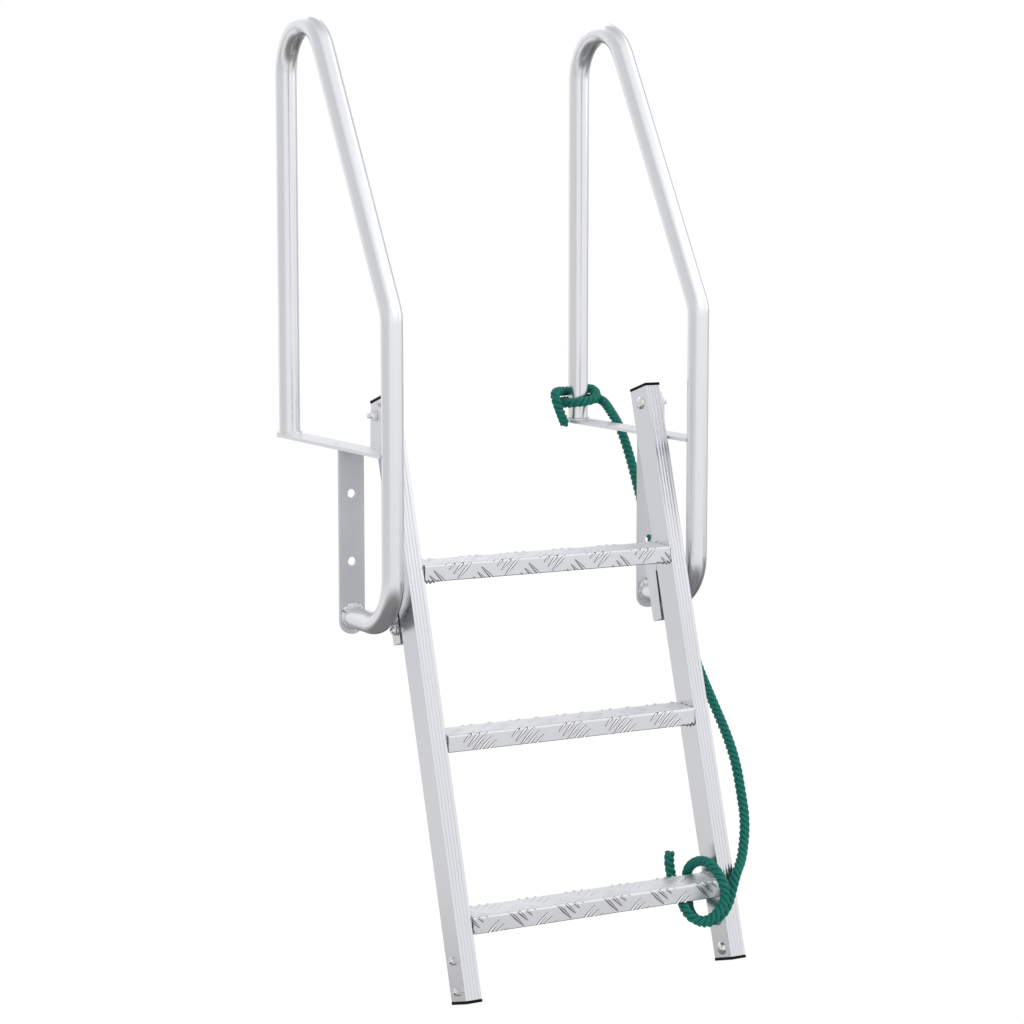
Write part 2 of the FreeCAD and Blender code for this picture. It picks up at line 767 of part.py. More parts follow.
def add_pivot_bolt(side, x, inward):
    # Domed head inside the stringer, then stringer, spacer, lug, washer and nut.
    stringer_outer = x + inward * size("stringer_side_gap")
    stringer_inner = stringer_outer + inward * size("stringer_width")
    lug_inner = x + inward * size("bar_width") / 2
    lug_outer = lug_inner - inward * BAR
    way = V(-inward, 0, 0)
    washer_start = lug_outer - inward * size("side_play")
    nut_start = washer_start - inward * size("washer_height")
    grip = abs(nut_start - stringer_inner) + size("nut_height")
    add_shape(side + "_pivot_bolt", dome_head_bolt(V(stringer_inner, PIVOT.y, PIVOT.z), way, grip))
    washer = ring(size("washer_radius"), size("washer_height"), V(washer_start, PIVOT.y, PIVOT.z), way)
    nut = hexagon(V(nut_start, PIVOT.y, PIVOT.z), way)
    add_shape(side + "_pivot_nut", washer.fuse(nut).removeSplitter())
    thickness = abs(stringer_outer - lug_inner) - size("side_play")
    spacer = ring(size("spacer_radius"), thickness, V(stringer_outer, PIVOT.y, PIVOT.z), way)
    add_shape(side + "_pivot_spacer", spacer)


def add_foot_bolts(side, x, inward):
    # Two bolts through the foot of the stringer, heads inside, nuts outside.
    outer_face = x + inward * size("stringer_side_gap")
    inner_face = outer_face + inward * size("stringer_width")
    nut_face = outer_face - inward * size("washer_height")
    way = V(-inward, 0, 0)
    grip = abs(nut_face - inner_face) + size("nut_height")
    pieces = []
    for rise in (size("foot_bolt_rise"), size("foot_bolt_rise") + size("foot_bolt_pitch")):
        spot = ladder_point(0, 0, rise - FOOT_DROP)
        bolt = dome_head_bolt(V(inner_face, spot.y, spot.z), way, grip)
        washer = ring(size("washer_radius"), size("washer_height"), V(outer_face, spot.y, spot.z), way)
        nut = hexagon(V(nut_face, spot.y, spot.z), way)
        pieces.append(bolt.fuse(washer.fuse(nut)).removeSplitter())
    add_shape(side + "_foot_bolts", Part.makeCompound(pieces))


def add_stop_bracket(side, x, inward):
    # Folded channel behind the stringer: welded to it along the top, free of it below.
    width = size("stringer_width")
    wall = size("bracket_wall")
    half = size("stringer_depth") / 2
    top = size("bracket_above_bolt") - size("stop_bolt_drop")
    foot = -size("bracket_below_bolt") - size("stop_bolt_drop")
    shoulder = top - size("bracket_weld_height")
    back = half + size("bracket_slot_foot") + size("bracket_depth")
    side_points = [
        (half, top),
        (half, shoulder),
        (half + size("bracket_slot_top"), shoulder),
        (half + size("bracket_slot_foot"), foot),
        (back, foot),
        (back, top),
    ]
    corners = [V(0, across, up) for across, up in side_points]
    corners.append(corners[0])
    block = Part.Face(Part.makePolygon(corners)).extrude(V(width, 0, 0))
    hollow = Part.makeBox(
        width - 2 * wall,
        back - wall,
        top - foot + 2 * CUT_MARGIN,
        V(wall, 0, foot - CUT_MARGIN),
    )
    radius = size("bolt_diameter") / 2 + size("running_gap")
    hole = Part.makeCylinder(
        radius,
        width + 2 * CUT_MARGIN,
        V(-CUT_MARGIN, STOP_BACK, -size("stop_bolt_drop")),
        V(1, 0, 0),
    )
    channel = block.cut(hollow).cut(hole)
    base = ladder_point(stringer_low_x(x, inward), 0, 0)
    channel.Placement = FreeCAD.Placement(base, LADDER_TURN)
    add_shape(side + "_stop_bracket", channel)


def add_stop_bolt(side, x, inward):
    # Bolt across the stop bracket: its nut reaches under the handrail and bears on it.
    radius = size("bolt_diameter") / 2
    outer_face = x + inward * size("stringer_side_gap")
    inner_face = outer_face + inward * (size("stringer_width") - size("bracket_wall"))
    nut_end = x + inward * (TUBE_RADIUS - size("stop_bite"))
    nut_face = nut_end + inward * size("nut_height")
    way = V(-inward, 0, 0)
    spot = ladder_point(0, STOP_BACK, -size("stop_bolt_drop"))
    length = abs(inner_face - nut_end) + size("stop_stud_end")
    shank = Part.makeCylinder(radius, length, V(inner_face, spot.y, spot.z), way)
    washer = ring(size("washer_radius"), abs(outer_face - nut_face), V(outer_face, spot.y, spot.z), way)
    nut = hexagon(V(nut_face, spot.y, spot.z), way)
    add_shape(side + "_stop_bolt", shank.fuse(washer.fuse(nut)).removeSplitter())


# The rope: hitched round the right back tube, it runs down outside the right rail, crosses
# in front of the right stringer and is wound twice round the bottom step.
ROPE_TAIL = [
    V(475, 210, -2),
    V(471, 212, 23),
    V(463, 219, 50),
    V(482, 242, 51),
    V(506, 243, 50),
]
ROPE_RUN = [
    V(537, 200, 33),
    V(537, 168, 21),
    V(537, 138, 0),
    V(537, 108, -50),
    V(537, 76, -117),
    V(537, 22, -189),
    V(537, -52, -265),
    V(537, -121, -347),
    V(536, -152, -399),
    V(536, -194, -446),
    V(534, -220, -483),
    V(530.5, -237.5, -523),
]
ROPE_STEP_LOOP = [
    V(530.5, -237.5, -523),
    V(527, -255, -563),
    V(507, -281, -600),
    V(482, -303, -633),
    V(463, -313, -672),
    V(437, -303, -700),
    V(431, -265, -698),
    V(446, -226, -684),
    V(449, -216, -646),
    V(441, -243, -611),
    V(444, -286, -601),
    V(450, -316, -625),
    V(452, -326, -660),
    V(433, -322, -688),
    V(402, -309, -684),
    V(399, -281, -671),
    V(418, -240, -680),
    V(427, -217, -645),
    V(417, -216, -603),
]
RUN_IN = 0.45
HITCH_STUB = 22.0
HITCH_ROUNDING = 5.0


def cord_path(label, points):
    # Straight runs joined by tangent arcs. Each arc takes its share of the shorter run.
    edges = []
    start = points[0]
    radii = []
    for before, corner, after in zip(points, points[1:], points[2:]):
        inward = (corner - before).normalize()
        outward = (after - corner).normalize()
        reach = RUN_IN * min((corner - before).Length, (after - corner).Length)
        half_turn = inward.getAngle(outward) / 2
        radius = reach / math.tan(half_turn)
        radii.append(round(radius))
        bisector = (outward - inward).normalize()
        middle = corner + bisector * (radius / math.cos(half_turn) - radius)
        first = corner - inward * reach
        last = corner + outward * reach
        edges.append(Part.LineSegment(start, first).toShape())
        edges.append(Part.Arc(first, middle, last).toShape())
        start = last
    edges.append(Part.LineSegment(start, points[-1]).toShape())
    wire = Part.Wire(edges)
    print("%-22s length %6.0f, bend radii %s" % (label, wire.Length, radii))
    return wire


def cord_tube(label, points):
    # Round tube along a cord's path, checked against its section times its length.
    radius = size("rope_diameter") / 2
    wire = cord_path(label, points)
    section = Part.Wire([Part.makeCircle(radius, points[0], points[1] - points[0])])
    tube = wire.makePipeShell([section], True, False)
    share = tube.Volume / (math.pi * radius ** 2 * wire.Length)
    print("%-22s tube volume is %.3f of section times length" % (label, share))
    return tube


def add_rope():
    # The hitch is one outer shape: a band round the tube, the loose end and a short stub
    # that meets the run's first face.
    radius = size("rope_diameter") / 2
    tube_y = size("rail_depth") - size("front_tube_reach")
    foot = V(size("rail_spacing"), tube_y, size("hitch_low"))
    height = size("hitch_high") - size("hitch_low")
    band = Part.makeCylinder(TUBE_RADIUS + size("rope_diameter"), height, foot)
    rims = [edge for edge in band.Edges if len(edge.Vertexes) == 1]
    band = band.makeFillet(HITCH_ROUNDING, rims)
    leaving = (ROPE_RUN[0] - ROPE_RUN[1]).normalize()
    stub = Part.makeCylinder(radius, HITCH_STUB, ROPE_RUN[0], leaving)
    post = Part.makeCylinder(TUBE_RADIUS, size("rail_height"), V(foot.x, foot.y, 0))
    run = cord_tube("rope_run", ROPE_RUN)
    hitch = band.fuse([stub, cord_tube("rope_tail", ROPE_TAIL)]).cut([post, run])
    add_shape("rope_hitch", hitch)
    add_shape("rope_run", run)
    add_shape("rope_step_loop", cord_tube("rope_step_loop", ROPE_STEP_LOOP))


for side, x, inward in SIDES:
    add_handrail(side, x)
    add_deck_strap(side, x)
    add_dock_plate(side, x)
    add_pivot_lug(side, x, inward)
    add_stringer(side, x, inward)
    add_cap(side, x, inward, "top")
    add_cap(side, x, inward, "foot")
    add_pivot_bolt(side, x, inward)
    add_foot_bolts(side, x, inward)
    add_stop_bracket(side, x, inward)
    add_stop_bolt(side, x, inward)
add_tread("top_step", "step_one_down")
add_tread("middle_step", "step_two_down")
add_tread("bottom_step", "step_three_down")
add_rope()
print("the ladder leans out by %.2f degrees" % math.degrees(TILT))

doc.recompute()
for item in doc.Objects:
    if "Invalid" in item.State or "Error" in item.State:
        raise RuntimeError(item.Name + " did not build: " + str(item.State))
for node in nodes:
    if node.Shape.isNull() or not node.Shape.isValid():
        raise RuntimeError(node.Label + " has no valid shape")
for node in nodes:
    node.Shape.exportStep("parts/" + node.Label + ".step")
    box = node.Shape.BoundBox
    print(
        "%-22s volume %9.0f  x %7.1f %7.1f  y %7.1f %7.1f  z %7.1f %7.1f"
        % (node.Label, node.Shape.Volume, box.XMin, box.XMax, box.YMin, box.YMax, box.ZMin, box.ZMax)
    )
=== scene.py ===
import json
import math
import random

import bmesh
import bpy
from mathutils import Matrix, Vector


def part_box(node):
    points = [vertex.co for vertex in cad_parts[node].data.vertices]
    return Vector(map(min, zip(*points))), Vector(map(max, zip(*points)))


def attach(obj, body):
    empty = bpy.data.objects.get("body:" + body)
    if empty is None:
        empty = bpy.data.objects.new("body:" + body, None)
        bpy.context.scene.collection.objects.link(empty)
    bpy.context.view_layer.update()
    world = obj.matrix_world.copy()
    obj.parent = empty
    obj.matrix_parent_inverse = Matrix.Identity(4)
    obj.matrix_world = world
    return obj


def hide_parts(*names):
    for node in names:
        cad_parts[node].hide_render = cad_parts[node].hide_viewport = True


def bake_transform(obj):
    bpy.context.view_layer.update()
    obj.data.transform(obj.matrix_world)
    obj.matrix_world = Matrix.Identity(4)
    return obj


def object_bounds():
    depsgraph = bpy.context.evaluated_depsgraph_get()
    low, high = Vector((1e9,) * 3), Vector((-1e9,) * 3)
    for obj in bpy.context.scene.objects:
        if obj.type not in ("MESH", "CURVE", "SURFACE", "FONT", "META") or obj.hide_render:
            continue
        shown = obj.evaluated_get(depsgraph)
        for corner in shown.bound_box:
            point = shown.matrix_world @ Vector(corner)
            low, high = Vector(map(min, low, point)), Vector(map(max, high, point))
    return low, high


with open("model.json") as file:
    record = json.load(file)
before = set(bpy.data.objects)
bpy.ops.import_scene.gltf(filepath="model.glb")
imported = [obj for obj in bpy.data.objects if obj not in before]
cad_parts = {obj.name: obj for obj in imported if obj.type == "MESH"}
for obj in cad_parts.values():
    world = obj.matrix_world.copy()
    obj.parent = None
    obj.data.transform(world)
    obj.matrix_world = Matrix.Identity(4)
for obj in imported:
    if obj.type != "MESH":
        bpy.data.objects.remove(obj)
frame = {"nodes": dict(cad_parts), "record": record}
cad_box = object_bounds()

# %% [markdown]
# # A folding dock ladder
# The frame that was just loaded holds every solid of the ladder at its real place, in
# metres. +X runs from the left rail to the right one, +Y from the water to the dock, +Z up.
# The camera comes first, because the rope is laid to suit it. Its place and lens belong to
# a long product shot: nearly four metres off, a little above the deck, turned by 28 degrees
# from straight on and looking down by seven.

# %% The camera
MM = 0.001
CAMERA_PLACE = (-1.5947, -3.4386, 0.3912)
CAMERA_YAW = math.radians(28.45)
CAMERA_DOWN = math.radians(7.28)
CAMERA_LENS = 91.75
SENSOR_WIDTH = 36.0

scene = bpy.context.scene
camera_data = bpy.data.cameras.new("product_camera")
camera_data.sensor_width = SENSOR_WIDTH
camera_data.lens = CAMERA_LENS
camera = bpy.data.objects.new("product_camera", camera_data)
camera.location = CAMERA_PLACE
camera.rotation_euler = (math.pi / 2 - CAMERA_DOWN, 0.0, -CAMERA_YAW)
scene.collection.objects.link(camera)
scene.camera = camera
scene.view_settings.view_transform = "Standard"
print("camera at", CAMERA_PLACE)

# %% [markdown]
# ## The rope's route
# The rope is one length: its loose end hangs beside the right rail's back tube, it goes
# one and a half times round the tube, falls outside the rail, crosses in front of the right
# stringer and is wound twice round the bottom step, where it ends behind the step. The
# route is drawn as the control points of one smooth spline, in millimetres.

# %% Control points of the route
HITCH = [
    (479.5, 210, -2), (472, 206, 10), (464, 202, 24), (458, 202, 38),
    (461, 212, 48), (474, 226, 50), (488, 238, 49), (504, 244, 48.5),
    (521, 243, 50), (532, 234, 53), (538, 219, 51.5), (536, 205, 44),
    (526, 194, 38.5), (511, 190.5, 36), (495, 193, 34), (483, 204, 32),
    (481, 219, 31.5), (487, 235, 32.5), (501, 243, 33), (518, 242, 34),
    (531, 236, 35), (542, 224, 37), (546, 207, 35),
]
FALL = [
    (544, 190, 30), (540, 167, 19), (537, 133, -2), (537, 100, -50),
    (537, 66, -117), (537, 25, -187), (537, -40, -265), (537, -99, -347),
    (536, -148, -399), (536, -191, -446), (534, -218, -483), (530.5, -237.5, -523),
    (527, -255, -563),
]
STEP_LOOP = [
    (506, -279, -609), (487, -294, -623), (477, -301, -638), (471, -304, -652),
    (465, -306, -666), (455, -308, -679), (442, -305, -689), (434, -296, -694),
    (430, -280, -696), (430, -262, -692), (436, -242, -686), (445, -227, -677),
    (447, -222, -664), (446, -222, -650), (442, -227, -636), (441, -237, -623),
    (442, -252, -613), (443, -272, -607), (444, -292, -609), (446, -306, -618),
    (449, -315, -630), (451, -319, -644), (448, -320, -660), (439, -320, -672),
    (427, -318, -682), (414, -314, -685), (400, -308, -679), (395, -298, -669),
    (403, -278, -664), (415, -255, -666), (425, -233, -668), (424, -225, -656),
    (419, -221, -641), (417, -219, -626), (416, -218, -614), (418, -217, -603),
]
ROUTE_FINENESS = 24

route_data = bpy.data.curves.new("rope_route", "CURVE")
route_data.dimensions = "3D"
route_data.resolution_u = ROUTE_FINENESS
spline = route_data.splines.new("NURBS")
route_points = [Vector(point) * MM for point in HITCH + FALL + STEP_LOOP]
spline.points.add(len(route_points) - 1)
for control, point in zip(spline.points, route_points):
    control.co = (*point, 1.0)
spline.order_u = 3
spline.use_endpoint_u = True
route = bpy.data.objects.new("rope_route", route_data)
scene.collection.objects.link(route)
line_mesh = bpy.data.meshes.new_from_object(route)
line = [vertex.co.copy() for vertex in line_mesh.vertices]
bpy.data.objects.remove(route)

# %% [markdown]
# ## Three strands
# A laid rope is three round strands twisted round each other. A tube with a bump map would
# have a straight outline, and a rope shows its bulges in outline, so each strand is a tube
# of its own that turns round the route. A frame is carried along the route without twist,
# and the strand's angle grows with the length that has been run.

# %% Points and frames along a line
RING_STEP = 1.5 * MM


def evenly(points, step):
    """Points along a line, the same distance apart."""
    out = [points[0].copy()]
    carry = 0.0
    for a, b in zip(points, points[1:]):
        piece = (b - a).length
        place = step - carry
        while place <= piece:
            out.append(a.lerp(b, place / piece))
            place += step
        carry = piece - (place - step)
    return out


def carried_frames(points):
    """A tangent, a side and an up vector at each point, with no twist between them."""
    frames = []
    side = None
    for index in range(len(points)):
        before = points[max(index - 1, 0)]
        after = points[min(index + 1, len(points) - 1)]
        tangent = (after - before).normalized()
        if side is None:
            side = tangent.orthogonal().normalized()
        side = (side - tangent * side.dot(tangent)).normalized()
        frames.append((tangent, side, tangent.cross(side)))
    return frames


centre = evenly(line, RING_STEP)
frames = carried_frames(centre)
print("the route has", len(centre), "points, %.1f mm apart" % (RING_STEP / MM))

# %% Strands along the route
STRANDS = 3
LAY = 27 * MM
STRAND_RADIUS = 3.4 * MM
STRAND_OFFSET = 4.4 * MM
STRAND_SIDES = 10

mesh = bpy.data.meshes.new("green_rope")
build = bmesh.new()
uv_layer = build.loops.layers.uv.new("rope_uv")
for strand in range(STRANDS):
    start_angle = 2 * math.pi * strand / STRANDS
    spine = []
    for index, (point, (tangent, side, up)) in enumerate(zip(centre, frames)):
        angle = start_angle - 2 * math.pi * index * RING_STEP / LAY
        out = side * math.cos(angle) + up * math.sin(angle)
        spine.append(point + out * STRAND_OFFSET)
    strand_frames = carried_frames(spine)
    rings = []
    for index, (point, (tangent, side, up)) in enumerate(zip(spine, strand_frames)):
        ring = []
        for corner in range(STRAND_SIDES):
            turn = 2 * math.pi * corner / STRAND_SIDES
            spread = side * math.cos(turn) + up * math.sin(turn)
            ring.append(build.verts.new(point + spread * STRAND_RADIUS))
        rings.append(ring)
    for index in range(len(rings) - 1):
        for corner in range(STRAND_SIDES):
            following = (corner + 1) % STRAND_SIDES
            face = build.faces.new((
                rings[index][corner],
                rings[index][following],
                rings[index + 1][following],
                rings[index + 1][corner],
            ))
            face.smooth = True
            along = index * RING_STEP / LAY
            ahead = (index + 1) * RING_STEP / LAY
            low = corner / STRAND_SIDES
            high = (corner + 1) / STRAND_SIDES
            corners = ((along, low), (along, high), (ahead, high), (ahead, low))
            for loop, value in zip(face.loops, corners):
                loop[uv_layer].uv = value
    build.faces.new(list(reversed(rings[0])))
    build.faces.new(rings[-1])
build.normal_update()
build.to_mesh(mesh)
build.free()
rope = bpy.data.objects.new("green_rope", mesh)
scene.collection.objects.link(rope)
print("strands have", len(mesh.polygons), "faces")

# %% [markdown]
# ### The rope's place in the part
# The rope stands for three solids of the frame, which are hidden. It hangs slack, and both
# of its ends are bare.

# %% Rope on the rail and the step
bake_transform(rope)
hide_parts("rope_hitch", "rope_run", "rope_step_loop")

# %% [markdown]
# ## Finishes
# Bare metal is never one flat grey. Drawn tube carries faint streaks along its length,
# flat bar has a soft mottle from the anodising bath, and edges are brighter where they rub.
# Three small node groups give these effects, and every material takes them with its own
# numbers: streaks along an axis, a cloudy mottle, and edge wear read from the surface's
# own pointiness. A number can be linked or plain, so one small helper feeds both.

# %% Small node helpers
def new_group(name, inputs, outputs):
    group = bpy.data.node_groups.new(name, "ShaderNodeTree")
    for label, kind, value in inputs:
        socket = group.interface.new_socket(name=label, in_out="INPUT", socket_type=kind)
        socket.default_value = value
    for label, kind in outputs:
        group.interface.new_socket(name=label, in_out="OUTPUT", socket_type=kind)
    start = group.nodes.new("NodeGroupInput")
    end = group.nodes.new("NodeGroupOutput")
    return group, start, end


def feed(tree, socket, value):
    """Link an output to the socket, or write a plain value on it."""
    if isinstance(value, bpy.types.NodeSocket):
        tree.links.new(value, socket)
    else:
        socket.default_value = value


def number_node(tree, operation, first, second):
    node = tree.nodes.new("ShaderNodeMath")
    node.operation = operation
    feed(tree, node.inputs[0], first)
    feed(tree, node.inputs[1], second)
    return node.outputs[0]


def spread_value(tree, value, low, high, start=0.0, end=1.0):
    """Bring what runs from start to end to the range from low to high."""
    node = tree.nodes.new("ShaderNodeMapRange")
    for name, number in (
        ("From Min", start),
        ("From Max", end),
        ("To Min", low),
        ("To Max", high),
    ):
        node.inputs[name].default_value = number
    tree.links.new(value, node.inputs["Value"])
    return node.outputs["Result"]


print("node helpers are ready")

# %% Streaks, mottle and edge wear
def make_streaks():
    inputs = [
        ("Vector", "NodeSocketVector", (0, 0, 0)),
        ("Scale", "NodeSocketVector", (900.0, 900.0, 6.0)),
    ]
    group, start, end = new_group("drawn_streaks", inputs, [("Mask", "NodeSocketFloat")])
    stretch = group.nodes.new("ShaderNodeVectorMath")
    stretch.operation = "MULTIPLY"
    group.links.new(start.outputs["Vector"], stretch.inputs[0])
    group.links.new(start.outputs["Scale"], stretch.inputs[1])
    noise = group.nodes.new("ShaderNodeTexNoise")
    noise.inputs["Scale"].default_value = 1.0
    noise.inputs["Detail"].default_value = 5.0
    noise.inputs["Roughness"].default_value = 0.65
    group.links.new(stretch.outputs[0], noise.inputs["Vector"])
    group.links.new(noise.outputs["Fac"], end.inputs["Mask"])
    return group


def make_mottle():
    inputs = [("Vector", "NodeSocketVector", (0, 0, 0)), ("Scale", "NodeSocketFloat", 25.0)]
    group, start, end = new_group("cloudy_mottle", inputs, [("Mask", "NodeSocketFloat")])
    noise = group.nodes.new("ShaderNodeTexNoise")
    noise.inputs["Detail"].default_value = 3.0
    noise.inputs["Distortion"].default_value = 0.6
    group.links.new(start.outputs["Vector"], noise.inputs["Vector"])
    group.links.new(start.outputs["Scale"], noise.inputs["Scale"])
    clouds = spread_value(group, noise.outputs["Fac"], 0.0, 1.0, 0.3, 0.7)
    group.links.new(clouds, end.inputs["Mask"])
    return group


def make_edge_wear():
    inputs = [("Amount", "NodeSocketFloat", 0.5)]
    group, start, end = new_group("edge_wear", inputs, [("Mask", "NodeSocketFloat")])
    geometry = group.nodes.new("ShaderNodeNewGeometry")
    sharp = spread_value(group, geometry.outputs["Pointiness"], 0.0, 1.0, 0.51, 0.60)
    mask = number_node(group, "MULTIPLY", sharp, start.outputs["Amount"])
    group.links.new(mask, end.inputs["Mask"])
    return group


STREAKS = make_streaks()
MOTTLE = make_mottle()
EDGE_WEAR = make_edge_wear()
print("effects:", STREAKS.name, MOTTLE.name, EDGE_WEAR.name)

# %% [markdown]
# ## Metal
# All the aluminium parts share one recipe and differ in numbers: the colour, how rough the
# satin is, the way the streaks run and how deep they are. Roughness and bump change with
# the streaks, so a highlight breaks up along the tube as it does on drawn metal. Flat bar
# and chequer plate wear a dull skin of oxide, which a Metallic below one gives: part of the
# light is then scattered as from paint. Four darker or brighter finishes go on small faces
# only. Dark beads at the step ends are painted shade of their gaps and also burnt spatter.
# The floor of a groove gets painted shade. The crest of a raised bar gets a painted highlight
# with some real rubbing, and there is painted shade at its foot and on its shaded flank.

# %% Colour and relief in a material
def mix_colour(tree, mask, low, high):
    node = tree.nodes.new("ShaderNodeMix")
    node.data_type = "RGBA"
    tree.links.new(mask, node.inputs[0])
    for socket, value in ((node.inputs[6], low), (node.inputs[7], high)):
        feed(tree, socket, (*value, 1.0) if isinstance(value, tuple) else value)
    return node.outputs[2]


def add_relief(tree, height, strength, depth):
    """Bump the surface of the tree's Principled shader by a height."""
    relief = tree.nodes.new("ShaderNodeBump")
    relief.inputs["Strength"].default_value = strength
    relief.inputs["Distance"].default_value = depth
    tree.links.new(height, relief.inputs["Height"])
    normal = tree.nodes["Principled BSDF"].inputs["Normal"]
    tree.links.new(relief.outputs["Normal"], normal)


def new_material(name, coordinates="Object"):
    """A material with its tree, its Principled shader and the coordinates it reads."""
    material = bpy.data.materials.new(name)
    material.use_nodes = True
    tree = material.node_tree
    place = tree.nodes.new("ShaderNodeTexCoord").outputs[coordinates]
    return material, tree, tree.nodes["Principled BSDF"], place


def use_group(tree, group, vector, **values):
    node = tree.nodes.new("ShaderNodeGroup")
    node.node_tree = group
    if vector is not None:
        tree.links.new(vector, node.inputs["Vector"])
    for name, value in values.items():
        node.inputs[name].default_value = value
    return node.outputs["Mask"]


print("colour and relief helpers are ready")

# %% A recipe for satin metal
WORN_METAL = (0.93, 0.93, 0.94)


def metal(name, dark, light, rough, grain, clouds, bump=0.02 * MM, wear=0.3, metallic=1.0):
    material, tree, shader, place = new_material(name)
    streaks = use_group(tree, STREAKS, place, Scale=grain)
    mottle = use_group(tree, MOTTLE, place, Scale=clouds)
    rubbed = use_group(tree, EDGE_WEAR, None, Amount=wear)
    both = number_node(tree, "MULTIPLY", streaks, mottle)
    body = mix_colour(tree, mottle, dark, light)
    worn = mix_colour(tree, rubbed, body, WORN_METAL)
    tree.links.new(worn, shader.inputs["Base Color"])
    satin = spread_value(tree, both, rough - 0.03, rough + 0.08)
    tree.links.new(satin, shader.inputs["Roughness"])
    shader.inputs["Metallic"].default_value = metallic
    add_relief(tree, streaks, 0.5, bump)
    return material


print("rubbed edges are", WORN_METAL)

# %% Aluminium and steel
ALONG_Z = (900.0, 900.0, 8.0)
ALONG_X = (8.0, 900.0, 900.0)
NO_GRAIN = (260.0, 260.0, 260.0)
BROAD = 9.0
HAIRLINE = 0.004 * MM
FINE = 0.01 * MM
tube_metal = metal(
    "anodised_tube", (0.90, 0.905, 0.92), (0.92, 0.925, 0.94), 0.25, ALONG_Z, BROAD,
    bump=HAIRLINE, wear=0.0,
)
bar_metal = metal(
    "anodised_flat_bar", (0.845, 0.85, 0.865), (0.88, 0.885, 0.90), 0.34, ALONG_Z, BROAD,
    wear=0.2, metallic=0.6,
)
dock_metal = metal(
    "weathered_dock_bar", (0.73, 0.74, 0.77), (0.78, 0.79, 0.82), 0.48, ALONG_Z, BROAD,
    wear=0.2, metallic=0.5,
)
stringer_metal = metal(
    "extruded_stringer", (0.745, 0.75, 0.775), (0.775, 0.78, 0.805), 0.25, ALONG_Z, BROAD,
    wear=0.2,
)
plate_metal = metal(
    "chequer_plate", (0.79, 0.795, 0.82), (0.85, 0.855, 0.88), 0.38, ALONG_X, BROAD,
    wear=0.5, metallic=0.75,
)
weld_metal = metal(
    "weld_bead", (0.86, 0.86, 0.87), (0.97, 0.97, 0.975), 0.30, NO_GRAIN, 180.0,
    bump=0.12 * MM,
)
bolt_metal = metal(
    "zinc_plated_steel", (0.84, 0.845, 0.85), (0.93, 0.93, 0.935), 0.15, NO_GRAIN, 60.0
)
# Dark beads in the gaps at the step ends: painted shade of the gaps. The burnt spatter takes it
# too.
gap_shade_and_burnt_metal = metal(
    "burnt_weld", (0.05, 0.05, 0.055), (0.30, 0.30, 0.31), 0.45, NO_GRAIN, 300.0,
    bump=0.1 * MM, wear=0.0,
)
# Painted shade for the floors of the stringer's grooves.
groove_metal = metal(
    "shaded_groove", (0.63, 0.63, 0.655), (0.68, 0.68, 0.71), 0.28, NO_GRAIN, 12.0,
    bump=FINE, wear=0.0,
)
# Painted highlight, with some real rubbing, on the raised bars of the front lip.
highlit_and_rubbed_metal = metal(
    "rubbed_bar", (0.95, 0.95, 0.955), (0.985, 0.985, 0.99), 0.26, NO_GRAIN, 60.0,
    bump=FINE, wear=0.0,
)
# Painted shade: near-black for the feet and right flanks of the lip's bars and for its lower
# edge.
painted_shade_metal = metal(
    "grimy_edge", (0.05, 0.05, 0.055), (0.16, 0.16, 0.165), 0.40, NO_GRAIN, 120.0,
    bump=FINE, wear=0.0,
)
print("metals from", tube_metal.name, "to", painted_shade_metal.name)

# %% [markdown]
# ## Plastic and rope
# The end caps are black moulded plastic with a fine grain. The rope is twisted
# polypropylene: each strand has fine yarns that run slantwise along it, so its colour and
# relief read the strand's own UV map, where one unit across goes once round the strand.
# Its green is darkened between the yarns as painted shade and lightened on their crests as
# a painted highlight.

# %% Cap and spacer plastic
MOULD_GRAIN = 400.0


def plastic(name, dark, light, rough, gloss):
    material, tree, shader, place = new_material(name)
    mottle = use_group(tree, MOTTLE, place, Scale=MOULD_GRAIN)
    tree.links.new(mix_colour(tree, mottle, dark, light), shader.inputs["Base Color"])
    tree.links.new(spread_value(tree, mottle, rough, rough + 0.1), shader.inputs["Roughness"])
    shader.inputs["Specular IOR Level"].default_value = gloss
    add_relief(tree, mottle, 0.3, 0.08 * MM)
    return material


cap_plastic = plastic(
    "black_cap_plastic", (0.003, 0.003, 0.0035), (0.006, 0.006, 0.007), 0.55, 0.15
)
spacer_plastic = plastic("white_nylon", (0.62, 0.62, 0.60), (0.72, 0.72, 0.70), 0.38, 0.5)
print("plastics:", cap_plastic.name, spacer_plastic.name)

# %% Rope yarn
YARNS = 11.0
YARN_SLANT = 7.0
# Painted shade between the yarns, the rope's own green, and a painted highlight on the crests.
ROPE_SHADE = (0.001, 0.040, 0.031)
ROPE_GREEN = (0.004, 0.250, 0.185)
ROPE_HIGHLIGHT = (0.010, 0.370, 0.280)


